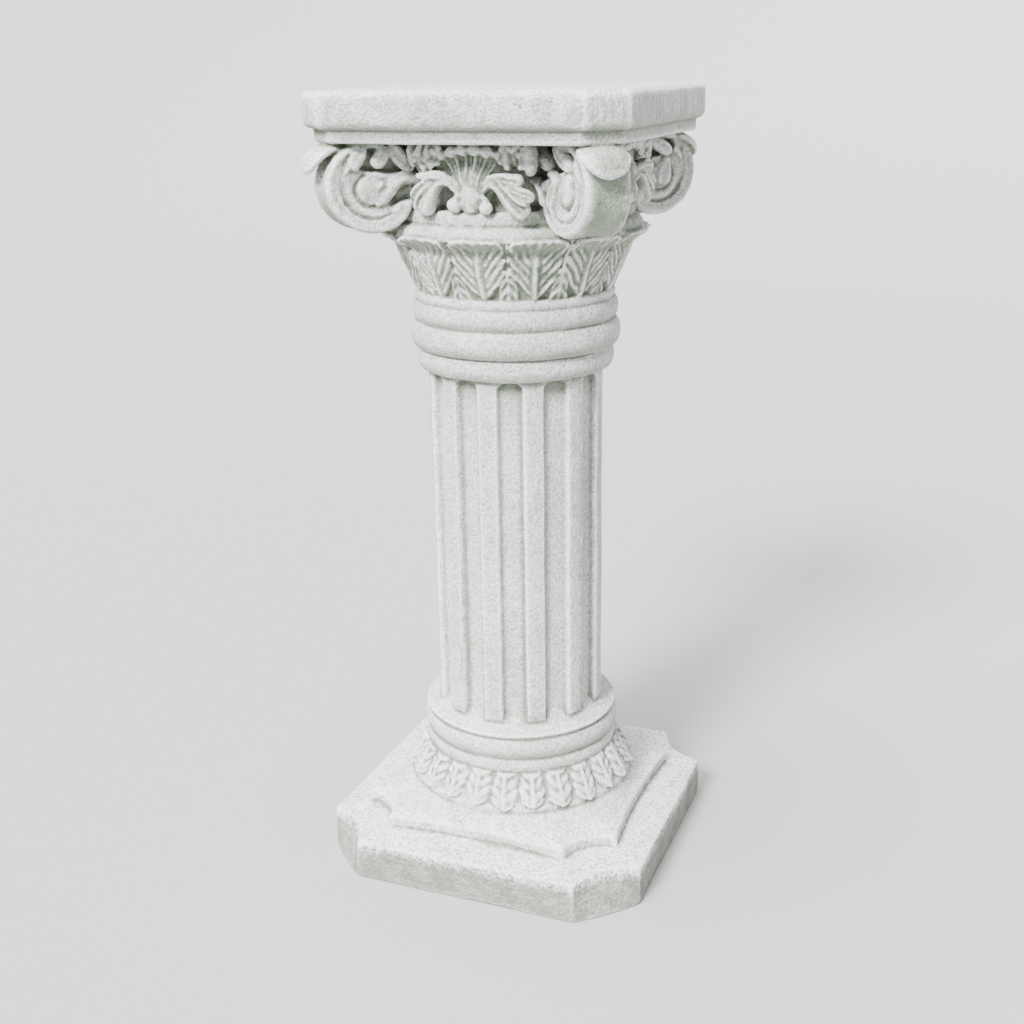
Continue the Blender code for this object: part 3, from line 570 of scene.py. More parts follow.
def volute(heap):
    """The corner scrolls, each with two carved faces and a plain outer band."""
    angle = turning(300)
    spread = VOLUTE_RADIUS * (1 + 0.14 * np.maximum(0, np.cos(angle - radians(218))) ** 2)
    share = np.linspace(0.02, 1.0, 76)[:, None] + 0 * angle
    reach = EYE_REACH + share * spread * np.cos(angle)
    z = EYE_Z + share * spread * np.sin(angle)
    at = np.stack([reach - EYE_REACH, z - EYE_Z], -1) * 1000
    faces = {}
    for side in (1, -1):
        away = side * (volute_half(reach, side) + volute_relief(at, share, side) * MM)
        faces[side] = np.stack([away, -reach, z], -1)
    rows = list(faces[1])
    start, end = faces[1][-1], faces[-1][-1]
    for t in np.linspace(0, 1, 12)[1:-1]:
        bulge = 0.0012 - 0.0018 * sin(pi * t) ** 2
        outwards = np.stack([0 * angle, -np.cos(angle) * bulge, np.sin(angle) * bulge], -1)
        rows.append(start + (end - start) * t + outwards)
    rows += list(faces[-1][::-1])
    heap.turned_copies(rows, 0.5)


def volute_web(heap):
    """The stone that joins a scroll to the drum and the lip, and the short heel under it."""
    path = [(0, -reach, EYE_Z + 0.004, volute_half(reach) - 0.0115, 0.034)
            for reach in np.linspace(RADIUS["drum"] * 0.7, EYE_REACH, 6)]
    heap.turned_copies(sweep(path, (0, 0, 1), around=48, power=0.45, tip=0.97), 0.5)
    heel = [(0, -0.098, 0.679, 0.0135, 0.011), (0, -0.125, 0.680, 0.0135, 0.011),
            (0, -0.140, 0.683, 0.013, 0.010), (0, -0.152, 0.688, 0.012, 0.009)]
    heap.turned_copies(sweep(heel, (0, 0, 1), around=40, power=0.7, tip=0.9), 0.5)


def sweep(path, outward, grooves=(), count=30, around=28, power=1.0, tip=0.9):
    """A leaf or stem swept along a path of (x, y, z, half width, half depth).

    grooves are lines along it: place across from -1 to 1, depth and width as shares.
    """
    way = curve_through(path, count)
    centre, half_width, half_depth = way[:, :3], way[:, 3], way[:, 4]
    along = np.gradient(centre, axis=0)
    along /= np.linalg.norm(along, axis=1)[:, None]
    across = np.cross(along, np.broadcast_to(np.asarray(outward, float), centre.shape))
    across /= np.linalg.norm(across, axis=1)[:, None]
    up = np.cross(across, along)
    angle = turning(around)
    a, b = (np.sign(part) * np.abs(part) ** power for part in (np.cos(angle), np.sin(angle)))
    for place, depth, width in grooves:
        b = b - depth * hump(a - place, width) * (b > 0)
    at = np.linspace(0, 1, count)
    end = np.sqrt(1 - np.clip((at - tip) / (1.002 - tip), 0, 1) ** 2)
    rows = centre[:, None] + across[:, None] * (a[None, :, None] * (half_width * end)[:, None, None])
    return rows + up[:, None] * (b[None, :, None] * (half_depth * end)[:, None, None])


def on_scroll(heap, side, stations, grooves=(), **more):
    """A form on a scroll's face: stations (outward, up, half width, half depth, proud) in mm."""
    path = []
    for outward, up, wide, deep, proud in stations:
        reach = EYE_REACH + outward * MM
        away = side * (volute_half(reach, side) + (proud - deep) * MM)
        path.append((away, -reach, EYE_Z + up * MM, wide * MM, deep * MM))
    heap.turned_copies(sweep(path, (side, -VOLUTE_SPREAD, 0.0), grooves, **more), 0.5)


# Grooves down a leaf: one in the middle, or one to the side
SPOON = ((0.0, 0.30, 0.45),)
FOLD = ((0.25, 0.32, 0.26),)


def scroll_ornament(heap):
    """The curling stems, folded leaves and hanging lobes on the faces of the corner scrolls."""
    on_scroll(heap, 1, ((-6, -17, 3, 3, -0.4), (-12, -12, 6.4, 5, 2.0), (-17.5, -4.5, 7.8, 7, 3.8),
                        (-24, 2.5, 7.2, 7, 4.2), (-32, 6.2, 6.2, 7, 3.8), (-41, 6.0, 5.6, 7, 3.0),
                        (-51, 4.5, 4.6, 6, 2.4)), ((-0.55, 0.25, 0.16),), count=44, around=36, tip=0.96)
    on_scroll(heap, 1, ((-13, 5, 1.6, 2.4, 1.6), (-10.5, 1, 2.8, 3, 2.8), (-7, -3, 2.2, 2.4, 2.4)),
              tip=0.7)
    on_scroll(heap, 1, ((5, 35, 6, 6, 2.4), (8.5, 28, 7.4, 8, 4.8), (13.5, 20.5, 6.6, 7, 4.6),
                        (16.5, 15.5, 4.2, 5, 2.4)), FOLD, tip=0.8)
    on_scroll(heap, 1, ((-17, 35, 6, 6, 1), (-13.5, 28, 7.4, 8, 4.6), (-8.5, 21, 6.8, 7, 5.0),
                        (-6, 16.5, 4.4, 5, 3.2)), SPOON, tip=0.8)
    on_scroll(heap, 1, ((-22, 36, 6, 8, 2), (-28, 28.5, 7.8, 8, 5.2), (-35, 20.5, 7.0, 7, 5.2),
                        (-42, 13, 3.6, 5, 2.8)), FOLD, tip=0.85)
    on_scroll(heap, -1, ((-68, 4, 3.4, 5, 2.5), (-56, 4.5, 3.6, 6, 3.4), (-46, 1, 3.6, 6, 4.2),
                         (-41.5, -7, 3.6, 6, 3.8), (-42.5, -17, 3.2, 5, 1.8)), count=40, tip=0.9)
    on_scroll(heap, -1, ((-16, 10, 3, 4, 1.0), (-20, 3, 6, 6, 2.4), (-26, -6, 7.4, 7, 2.6),
                         (-30, -14, 6.5, 6, 2.0), (-31, -20, 3, 4, 0.4)),
              ((0.0, 0.45, 0.4),), count=36, tip=0.85)
    on_scroll(heap, -1, ((7, 13, 2.4, 3, 0.8), (4, 8, 6, 5, 3.0), (1.5, 0, 9.2, 7, 4.6),
                         (0.5, -8, 9.6, 7, 4.4), (0, -15, 6, 5, 2.0)),
              ((0.1, 0.25, 0.3),), count=36, around=40, tip=0.86)
    on_scroll(heap, -1, ((-27, 12, 3, 4, 2.2), (-19, 11.5, 3.4, 4.5, 3.6), (-15, 6.5, 3.2, 4.5, 4.0),
                         (-19, 0.5, 2.4, 4, 3.2)), tip=0.85)
    on_scroll(heap, -1, ((-56, 36, 5, 7, 2), (-48, 29, 6.8, 8, 4.4), (-37, 22, 6.6, 8, 5.2),
                         (-27, 17, 3.6, 5, 3.4)), FOLD, tip=0.85)
    on_scroll(heap, -1, ((-20, 36, 4, 6, 2), (-10, 29.5, 6.2, 7, 4.4), (2, 22.5, 6.8, 7, 5.0),
                         (10, 17.5, 4.6, 5, 3.2)), SPOON, tip=0.82)


def tongue(heap):
    """The smooth leaf that folds over each scroll below the abacus corner; one of them is short."""
    path = [(0.0, -0.1740, 0.7490, 0.0160, 0.0045), (0.0, -0.1880, 0.7480, 0.0225, 0.0055),
            (0.0, -0.2000, 0.7415, 0.0235, 0.0058), (0.0, -0.2065, 0.7320, 0.0165, 0.0048),
            (0.0, -0.2085, 0.7250, 0.0050, 0.0026)]
    for k, short in enumerate((0.0, 0.0095, 0.0, 0.0)):
        way = [(x, y + short * (y < -0.18), z, wide, deep) for x, y, z, wide, deep in path]
        rows = sweep(way, (0.0, -1.0, 0.7), around=48, count=40, tip=0.86)
        heap.tube(turn(rows, tau * (k + 0.5) / SIDES))


# The ornament in the middle of each face. Places are in millimetres: across, up, and how far its
# front stands from the column's axis.

def on_front(heap, stations, grooves=(), side=1, **more):
    """A form on the face: stations (across, up, half width, half depth, front) in mm."""
    path = [((ORNAMENT_SHIFT + side * x) * MM, (deep - front) * MM, z * MM, wide * MM, deep * MM)
            for x, z, wide, deep, front in stations]
    heap.turned_copies(sweep(path, (0.0, -1.0, 0.0), grooves, **more))


def shell(heap):
    """The fluted hollow fan under the abacus, with a thick scalloped rim, and the drop below it."""
    scallops = 5
    u = np.linspace(-1, 1, 181)[None]
    t = np.linspace(0, 1, 60)[:, None]
    half = 12.0 + 15.5 * t ** 1.5
    from_rib = scallops * (u + 1) / 2
    from_rib = np.abs(from_rib - np.round(from_rib))
    ribs = 3.4 * hump(from_rib, 0.17) - 1.4 * hump(from_rib - 0.32, 0.10)
    ribs = ribs + 1.6 * hump(from_rib - 0.5, 0.09)
    out = 122.0 - 8.0 * hump(t - 0.82, 0.34) * (1 - 0.5 * u * u) - 6.0 * u * u
    out = out + ribs * ease(0.0, 0.25, t)
    z = 712 + 34 * t - 6.5 * u * u * t
    front = np.stack([half * u + 0 * t, -out, z + 0 * u], -1)
    back = front * np.array([1.0, 0.0, 1.0]) + np.array([0.0, -106.0, 0.0])
    rows = np.concatenate([front, back[:, ::-1]], axis=1) * MM
    rows[..., 0] += ORNAMENT_SHIFT * MM
    heap.turned_copies(rows)
    rim = []
    for u in np.linspace(-1, 1, 41):
        plump = 0.66 + 0.34 * abs(cos(pi * scallops * (u + 1) / 2)) ** 1.5
        front = 127 - 5 * u * u - 5 * (1 - plump)
        rim.append((28.5 * u, 747.6 - 5.5 * u * u, 5.4 * plump, 6.8 * plump, front))
    on_front(heap, rim, count=200, around=28, tip=0.98)
    on_front(heap, ((0, 722, 9, 5, 120), (0, 714, 10.2, 8, 122.5), (0, 706, 11.2, 10, 125),
                    (0, 698, 10.2, 10, 125), (0, 691, 6.5, 7, 121.5)),
             ((0.35, 0.10, 0.10),), around=40, tip=0.9)
    for side, x, z, radius in ((-1, 15.2, 698.2, 6.8), (1, 16.0, 696.6, 6.5)):
        lump(heap, side, x, z, radius, radius, radius, 127)
        stem = ((x + 1, z + 2, 3.0, 4, 123), (x - 1.5, z + 7, 2.6, 4, 122), (x - 6, z + 10, 3.0, 4, 122))
        on_front(heap, stem, side=side)


def lump(heap, side, x, z, wide, tall, deep, front):
    """A round lobe on the face, from its half width, half height and half depth."""
    stations = []
    for angle in np.linspace(0.2, pi - 0.2, 9):
        s = sin(angle)
        stations.append((x, z + tall * cos(angle), wide * s, deep * s, front - deep + deep * s))
    on_front(heap, stations, side=side, tip=0.97)


def acanthus(heap):
    """The leaves that spring from the fan's foot on both sides, arch over and droop in fingers."""
    on_front(heap, ((6, 708, 4, 6, 119), (12, 713.5, 4.6, 6, 121.5), (20, 718.5, 5.6, 7, 124.5),
                    (29.5, 716, 7.4, 8, 126.5), (37.5, 707.5, 9, 8, 127), (45, 699, 9.6, 8, 127),
                    (51.5, 693, 8.4, 7, 125.5), (55, 689.5, 5, 5, 123)),
             ((-0.42, 0.60, 0.17), (-0.02, 0.55, 0.15)), count=60, around=48, tip=0.92)
    on_front(heap, ((18, 722, 3.4, 5, 124), (30, 723.8, 4.2, 6, 127.5), (41, 722.6, 5, 6.5, 128.5),
                    (48.5, 721.4, 5.4, 6.5, 128), (53, 720.8, 3.4, 5, 126)), ((0.2, 0.5, 0.3),), tip=0.84)
    on_front(heap, ((30, 719.5, 3, 5, 125.5), (40, 714, 4.6, 6.5, 128.5), (50, 710, 5.8, 7, 129.5),
                    (58.5, 707.5, 5.6, 6.5, 128.5), (63.5, 706.8, 3.4, 5, 126)),
             ((-0.35, 0.60, 0.2), (0.3, 0.5, 0.2)), around=36, tip=0.85)
    on_front(heap, ((32, 717, 1.5, 4, 126), (41, 709, 1.8, 4.5, 128.2), (50, 702.5, 2.0, 4.5, 128.4),
                    (59, 700, 1.8, 4, 127)))
    on_front(heap, ((9, 706, 4, 6, 119), (14, 713, 4.4, 6, 121.5), (21, 719.5, 5, 7, 124),
                    (30, 720.5, 6.6, 8, 126), (38, 713.5, 8.4, 8, 126.5), (43.5, 704, 10, 8, 126.5),
                    (47.5, 695.5, 11, 8, 126), (50, 689.5, 7, 6, 123.5)),
             ((0.38, 0.60, 0.15), (0.0, 0.45, 0.15)), side=-1, count=60, around=48, tip=0.92)
    on_front(heap, ((24, 724, 3.6, 5.5, 125), (34, 725, 4, 6, 127.5), (44, 724.2, 3.6, 5.5, 127),
                    (53, 724.6, 1.8, 4, 124.5)), ((0.2, 0.4, 0.3),), side=-1, tip=0.85)
    on_front(heap, ((37, 720, 3.2, 6, 127), (45, 715.5, 4.4, 7, 129), (51.5, 709.5, 5.4, 7, 129.5),
                    (56, 703, 4.4, 6, 127.5)), ((0.0, 0.8, 0.45),), side=-1, around=36, tip=0.82)


def upper_lumps(heap):
    """The worn lobes packed under the abacus on both sides of the fan, and the stone behind them."""
    on_front(heap, ((-4, 757, 62, 8, 112.5), (-4, 738, 57, 8, 113), (-2, 725, 38, 8, 113),
                    (0, 713, 20, 8, 114), (0, 698, 12, 8, 114)), around=72, power=0.5, tip=0.97)
    lobes = ((1, 35, 742, 5.5, 14, 122), (1, 42.5, 745, 3.4, 13, 119.5), (1, 48.5, 744, 3.4, 14, 119.5),
             (1, 57, 740, 7, 16, 123), (-1, 33.5, 744, 6, 13, 120.5), (-1, 42, 741, 5.2, 14, 121.5),
             (-1, 50, 743, 5.2, 14, 121), (-1, 58.5, 744, 5.6, 13, 121))
    for side, x, z, wide, tall, front in lobes:
        lump(heap, side, x, z, wide, tall, 9, front)
    backing = ((45, 757, 17, 9, 116), (45, 742, 16, 9, 116.5), (45, 733, 11, 7, 114.5))
    for side in (1, -1):
        on_front(heap, backing, side=side, around=56, power=0.8, tip=0.90)
    scatter = np.random.default_rng(SEED + 2)
    for side in (1, -1):
        for k in range(22):
            size = scatter.uniform(1.7, 3.4)
            lump(heap, side, 30 + 1.4 * k, scatter.uniform(731, 753), size, size, size, 122)


def casting():
    """All the forms of the casting as one mesh."""
    heap = Heap()
    for build in (core, shaft, bell_leaves, skirt_leaves, foot, step, volute, volute_web, tongue,
                  scroll_ornament, shell, acanthus, upper_lumps):
        build(heap)
    slab(heap, CUSHION_HALF, ABACUS_CUT, LEVEL["cushion"], LEVEL["abacus"] + 0.002, 0.0030)
    slab(heap, ABACUS_HALF, ABACUS_CUT, LEVEL["abacus"], TOP_Z - 0.0004, 0.0070)
    return heap.mesh("casting forms")


# From forms to a worn skin

def linked(name, data):
    """An object of that data in the scene."""
    item = bpy.data.objects.new(name, data)
    bpy.context.scene.collection.objects.link(item)
    return item


def applied(item):
    """The mesh that an object's modifiers make; the object and its own mesh are removed."""
    graph = bpy.context.evaluated_depsgraph_get()
    result = bpy.data.meshes.new_from_object(item.evaluated_get(graph))
    mesh = item.data
    bpy.data.objects.remove(item, do_unlink=True)
    bpy.data.meshes.remove(mesh)
    return result


def remeshed(mesh):
    """One closed skin round all the forms."""
    item = linked("work", mesh)
    modifier = item.modifiers.new("skin", "REMESH")
    modifier.mode = "VOXEL"
    modifier.voxel_size = VOXEL
    modifier.adaptivity = 0.0
    return applied(item)


def read(items, name, width, kind=np.float32):
    """One property of all of a mesh's items, a row for each."""
    found = np.empty(len(items) * width, kind)
    items.foreach_get(name, found)
    return found.reshape(-1, width)


def coordinates(mesh):
    """The places of a mesh's vertices."""
    return read(mesh.vertices, "co", 3).astype(float)


def normals(mesh):
    """The directions in which a mesh's vertices face."""
    return read(mesh.vertex_normals, "vector", 3).astype(float)


class Neighbours:
    """Averages over the neighbours of each vertex."""

    def __init__(self, mesh):
        self.a, self.b = read(mesh.edges, "vertices", 2, np.int32).T
        self.size = len(mesh.vertices)
        degree = np.bincount(self.a, minlength=self.size) + np.bincount(self.b, minlength=self.size)
        self.degree = np.maximum(degree, 1)

    def mean(self, values):
        if values.ndim == 2:
            return np.stack([self.mean(column) for column in values.T], -1)
        total = np.bincount(self.a, values[self.b], self.size)
        total += np.bincount(self.b, values[self.a], self.size)
        return total / self.degree


def between(rise, fall, x):
    """1 between two places, eased over the stretch (start, end) of each."""
    return ease(*rise, x) * (1 - ease(*fall, x))


def carved(points):
    """1 on the carved parts of the casting and 0 on its plain ones."""
    z = points[:, 2]
    bell, cushion, skirt, band = (LEVEL[name] for name in ("bell", "cushion", "skirt", "low band"))
    capital = between((bell - 0.003, bell), (cushion - 0.002, cushion), z)
    leaves = between((skirt - 0.003, skirt), (band, band + 0.002), z)
    radius = np.hypot(points[:, 0], points[:, 1])
    beyond = ease(RADIUS["skirt"] + 0.006, RADIUS["skirt"] + 0.010, radius)
    return np.maximum(capital, leaves * (1 - beyond))


def moved(mesh, points):
    """Sets the places of a mesh's vertices."""
    mesh.vertices.foreach_set("co", points.astype(np.float32).ravel())
    mesh.update()


def marked(mesh, name, values):
    """Stores a number for each vertex, for the material."""
    layer = mesh.attributes.new(name, "FLOAT", "POINT")
    layer.data.foreach_set("value", values.astype(np.float32))


def worn(mesh):
    """Rounds the arrises unevenly, and gives the skin its waviness, pits and grain."""
    near = Neighbours(mesh)
    points = coordinates(mesh)
    noise = Noise(SEED)
    fine = carved(points)
    points += (near.mean(points) - points) * 0.5
    out = normals(mesh)
    edge = ease(0.00010, 0.00036, ((points - near.mean(near.mean(points))) * out).sum(1))
    for _ in range(4):
        edge = near.mean(edge)
    edge = np.minimum(edge * 1.8, 1)
    keen = edge * (0.45 + 0.55 * ease(-0.3, 0.5, noise(points, 0.022))) * (1 - fine)
    for _ in range(9):
        points += (near.mean(points) - points) * (0.7 * keen)[:, None]
    moved(mesh, points)
    out = normals(mesh)
    waves = 0.00060 * noise(points + 1.7, 0.060) + 0.00030 * noise(points + 5.3, 0.019)
    chipped_edge = edge * (1 - fine) * (0.00115 * noise(points + 3.1, 0.019) - 0.0003)
    grain = 0.00034 * noise(points + 2.9, 0.0075) + 0.00028 * noise(points + 8.1, 0.0036)
    push = waves + chipped_edge + (0.30 + 0.70 * np.maximum(fine, edge)) * grain
    chips = ease(0.40, 0.70, noise(points + 4.4, 0.0075)) * ease(-0.1, 0.4, noise(points + 9.0, 0.05))
    push -= (0.0011 * edge + 0.0003 * fine) * chips
    moved(mesh, points + out * push[:, None])


def hollow_marks(mesh):
    """Stores how hollow each place of the dense skin is: about 1 in a groove and -1 on a ridge."""
    near = Neighbours(mesh)
    points, out = coordinates(mesh), normals(mesh)
    bend = ((near.mean(points) - points) * out).sum(1)
    for _ in range(5):
        bend = near.mean(bend)
    marked(mesh, "hollow", bend / (90 * VOXEL ** 2))


def thinned(mesh):
    """Fewer triangles: most stay where the casting is carved."""
    item = linked("work", mesh)
    free = 1 - 0.5 * carved(coordinates(mesh))
    group = item.vertex_groups.new(name="free")
    for weight in (1.0, 0.75, 0.5):
        chosen = np.flatnonzero(np.abs(free - weight) <= 0.125)
        group.add(chosen.tolist(), weight, "REPLACE")
    modifier = item.modifiers.new("fewer", "DECIMATE")
    modifier.vertex_group = "free"
    modifier.vertex_group_factor = 0.000002
    modifier.use_collapse_triangulate = True
    modifier.ratio = min(1.0, MOST_TRIANGLES / (2 * len(mesh.polygons)))
    return applied(item)


def without_specks(mesh):
    """Takes away the specks of skin that lie loose beside the casting's thinnest edges."""
    work = bmesh.new()
    work.from_mesh(mesh)
    front = {min(work.verts, key=lambda v: v.co.z)}
    reached = set(front)
    while front:
        front = {edge.other_vert(v) for v in front for edge in v.link_edges} - reached
        reached |= front
    specks = [v for v in work.verts if v not in reached]
    bmesh.ops.delete(work, geom=specks, context="VERTS")
    work.to_mesh(mesh)
    work.free()


def kept_inside(mesh):
    """Holds the skin inside the solid's box and keeps its top nearly level."""
    points = coordinates(mesh)
    low, high = (np.array(corner) for corner in cad_box)
    z, top = points[:, 2], high[2]
    near_top, dip, gap = 0.0016, 0.0010, 0.00001
    points[:, 2] = np.where(z > top - near_top, np.maximum(z, top - dip), z)
    moved(mesh, np.clip(points, low + gap, high - gap))


def hidden_marks(mesh):
    """Stores how hidden each place is by the stone round it, and how far it faces up and right, from
    which the material paints shade and highlights.
    """
    near = Neighbours(mesh)
    points, out = coordinates(mesh), normals(mesh)
    tree = BVHTree.FromPolygons([tuple(p) for p in points], [tuple(f.vertices) for f in mesh.polygons])
    rng = np.random.default_rng(SEED)
    reach, rays, lift = 0.06, 10, 0.0006
    hidden = np.zeros(len(points))
    for _ in range(rays):
        way = rng.normal(size=points.shape)
        way /= np.linalg.norm(way, axis=1)[:, None]
        way = out * 1.05 + way
        way /= np.linalg.norm(way, axis=1)[:, None]
        for i, (p, d) in enumerate(zip(points + out * lift, way)):
            distance = tree.ray_cast(p, d, reach)[3]
            if distance is not None:
                hidden[i] += 1 - distance / reach
    hidden /= rays
    for _ in range(2):
        hidden = near.mean(hidden)
    marked(mesh, "hidden", hidden)
    marked(mesh, "facing", near.mean(out[:, 2]))
    marked(mesh, "rightward", near.mean(out[:, 0]))


# Materials

class Nodes:
    """A short way to write a node tree."""

    def __init__(self, material):
        self.tree = material.node_tree

    def put(self, socket, value):
        """Links or sets an input."""
        if isinstance(value, bpy.types.NodeSocket):
            self.tree.links.new(value, socket)
        else:
            socket.default_value = value

    def add(self, kind, inputs, **settings):
        """A node with inputs by name or number."""
        node = self.tree.nodes.new(kind)
        for name, value in settings.items():
            setattr(node, name, value)
        for name, value in inputs.items():
            self.put(node.inputs[name], value)
        return node

    def noise(self, place, scale, detail=4.0, roughness=0.55):
        return self.add("ShaderNodeTexNoise", {"Vector": place, "Scale": scale, "Detail": detail,
                                               "Roughness": roughness}).outputs["Fac"]

    def stretched(self, place, scale):
        return self.add("ShaderNodeVectorMath", {0: place, 1: scale}, operation="MULTIPLY").outputs[0]

    def spread(self, value, low, high, to_low=0.0, to_high=1.0):
        """A smooth step from one value at low to another at high."""
        return self.add("ShaderNodeMapRange", {"Value": value, "From Min": low, "From Max": high,
                                               "To Min": to_low, "To Max": to_high},
                        interpolation_type="SMOOTHSTEP").outputs["Result"]

    def maths(self, operation, a, b=0.0):
        return self.add("ShaderNodeMath", {0: a, 1: b}, operation=operation).outputs[0]

    def attribute(self, name):
        return self.add("ShaderNodeAttribute", {}, attribute_name=name).outputs["Fac"]

    def times(self, first, *others):
        """The product of two or more values."""
        for other in others:
            first = self.maths("MULTIPLY", first, other)
        return first

    def apart(self, a, b):
        """How far two values lie from each other."""
        return self.maths("ABSOLUTE", self.maths("SUBTRACT", a, b))

    def mix(self, share, a, b, **settings):
        return self.add("ShaderNodeMix", {0: share, 6: a, 7: b}, data_type="RGBA", **settings).outputs[2]

    def coat(self, base, colour, *shares):
        """The base under a colour that covers it by the product of the shares."""
        return self.mix(self.times(*shares), base, colour)


def new_material(name):
    """A material and its shader."""
    material = bpy.data.materials.new(name)
    material.use_nodes = True
    return material, material.node_tree.nodes["Principled BSDF"]


def flute_marks(n, base, across, forwards, height_at, patches):
    """Painted highlights as whitish lines along the arrises of the flutes, and painted shadow in the
    heads of the flutes under the collar.
    """
    pitch = tau / FLUTE_COUNT
    shaft_z, collar_z = LEVEL["shaft"], LEVEL["collar"]
    angle = n.maths("ARCTAN2", across, n.times(forwards, -1.0))
    share = n.maths("FRACT", n.times(n.maths("SUBTRACT", angle, FLUTE_PHASE), 1 / pitch))
    from_middle = n.apart(share, 0.5)
    from_edge = n.maths("SUBTRACT", from_middle, FLUTE_HALF_ANGLE / pitch)
    from_edge = n.times(from_edge, pitch * RADIUS["shaft"])
    stray = n.times(n.maths("SUBTRACT", patches, 0.5), 0.006)
    from_line = n.maths("ABSOLUTE", n.maths("ADD", n.maths("SUBTRACT", from_edge, 0.0006), stray))
    on_shaft = n.times(n.spread(height_at, shaft_z - 0.012, shaft_z),
                       n.spread(height_at, collar_z, collar_z - 0.003))
    # Painted highlight: whitish lines along the flutes' arrises, where the edges catch the light
    painted_flute_highlight = n.times(n.spread(from_line, 0.0016, 0.0004, 0.0, 0.8), on_shaft)
    # Painted shadow: dark grey green in the heads of the flutes, under the collar's overhang
    collar_shadow = n.times(n.spread(height_at, collar_z - 0.030, collar_z - 0.006),
                      n.spread(from_edge, 0.0, -0.0016, 0.0, 0.75))
    base = n.coat(base, (0.24, 0.27, 0.21, 1), collar_shadow, on_shaft)
    return n.coat(base, (0.93, 0.93, 0.93, 1), painted_flute_highlight)


def concrete():
    """Pale cast concrete: grain, pits and whitish scuffs, with painted highlights on tops and ridges and
    painted grey green shade in hollows and undersides.
    """
    material, shader = new_material("pale_concrete")
    n = Nodes(material)
    place = n.add("ShaderNodeTexCoord", {}).outputs["Object"]
    hollow, hidden, facing, rightward = map(n.attribute, ("hollow", "hidden", "facing", "rightward"))
    clouds = n.noise(place, 11.0, 5.0, 0.6)
    patches = n.noise(place, 60.0, 6.0, 0.7)
    mottle = n.noise(place, 300.0, 4.0, 0.62)
    grain = n.noise(place, 520.0, 3.0, 0.65)
    across, forwards, height_at = n.add("ShaderNodeSeparateXYZ", {"Vector": place}).outputs

    # Streaks on the upright faces of the plinth and the abacus
    low_part = n.spread(height_at, 0.060, 0.050)
    high_part = n.spread(height_at, LEVEL["cushion"], LEVEL["abacus"])
    side_on = n.times(n.spread(facing, 0.75, 0.35), n.spread(facing, -0.9, -0.5))
    brushed = n.noise(n.stretched(place, (16.0, 16.0, 330.0)), 1.0, 5.0, 0.6)
    combed = n.noise(n.stretched(place, (60.0, 300.0, 24.0)), 1.0, 5.0, 0.6)
    streaks = n.maths("ADD", n.times(brushed, low_part), n.times(combed, high_part))
    streaked = n.times(side_on, n.maths("ADD", low_part, n.times(high_part, 0.9)))

    # The stone's own greys and whites, and a painted highlight that thickens the white specks on faces
    # turned up
    base = n.mix(n.spread(clouds, 0.38, 0.64), (0.58, 0.585, 0.565, 1), (0.70, 0.70, 0.69, 1))
    base = n.coat(base, (0.82, 0.82, 0.82, 1), n.spread(patches, 0.50, 0.66), 0.60)
    base = n.coat(base, (0.47, 0.485, 0.455, 1), n.spread(patches, 0.47, 0.34), 0.45)
    # Painted highlight: white specks grow denser on faces that turn up towards the light
    specks_and_top_highlight = n.times(n.spread(mottle, 0.50, 0.62), n.spread(facing, -0.2, 0.9, 0.34, 0.92))
    base = n.coat(base, (0.90, 0.90, 0.91, 1), specks_and_top_highlight)
    base = n.coat(base, (0.39, 0.40, 0.38, 1), n.spread(mottle, 0.47, 0.37), 0.72)
    base = n.coat(base, (0.36, 0.375, 0.335, 1), n.spread(streaks, 0.54, 0.40), streaked, 0.60)
    base = n.coat(base, (0.88, 0.88, 0.87, 1), n.spread(streaks, 0.56, 0.66), streaked, 0.60)

    # Damp at the ground, whitish scuffs along the plinths' arrises, painted highlights on the flutes'
    # arrises, painted shadow in their heads
    damp = n.times(n.spread(height_at, 0.046, 0.036), n.spread(patches, 0.38, 0.60, 0.97, 0.70))
    base = n.coat(base, (0.235, 0.24, 0.205, 1), damp)
    arrises = n.maths("MAXIMUM", n.spread(n.apart(height_at, HEIGHT["foot"]), 0.016, 0.004),
                      n.spread(n.apart(height_at, LEVEL["step slope"]), 0.007, 0.002))
    scuffed = n.times(arrises, n.spread(mottle, 0.45, 0.52), n.spread(patches, 0.40, 0.56, 0.45, 1.0))
    base = n.coat(base, (0.94, 0.94, 0.95, 1), scuffed)
    base = flute_marks(n, base, across, forwards, height_at, patches)

    # Painted shade in grey green: on undersides, on the capital's right hand side, where the stone round
    # hides a place, and in hollows
    # Painted shade: faces that turn down are darker and grey green
    under = n.times(n.spread(facing, 0.10, -0.60), n.spread(clouds, 0.30, 0.60, 0.60, 0.90))
    base = n.coat(base, (0.28, 0.31, 0.24, 1), under)
    capital = n.times(n.spread(height_at, LEVEL["bell"] - 0.003, LEVEL["bell"] + 0.003),
                      n.spread(height_at, LEVEL["cushion"] + 0.006, LEVEL["cushion"] - 0.010))
    # Painted shade: the capital's right facing surfaces in its front right quarter are darker and grey
    # green; a faint grey green tint lies over the rest of the capital
    capital_shade_and_tint = n.times(n.spread(rightward, 0.10, 0.75), n.spread(clouds, 0.32, 0.56, 0.50, 0.90))
    front_right_quarter = n.times(n.spread(across, -0.02, 0.06), n.spread(forwards, 0.06, -0.03))
    capital_shade_and_tint = n.maths("ADD", n.times(capital_shade_and_tint, front_right_quarter), 0.10)
    base = n.coat(base, (0.28, 0.33, 0.245, 1), capital, capital_shade_and_tint)
    # Painted shade: grey green darkening where the stone round a place hides it from the light
    base = n.coat(base, (0.27, 0.31, 0.23, 1), n.spread(hidden, 0.22, 0.62), 0.70)
    # Painted shade: dark grey green in grooves and creases
    base = n.coat(base, (0.16, 0.20, 0.135, 1), n.spread(hollow, 0.02, 0.52), 0.80)

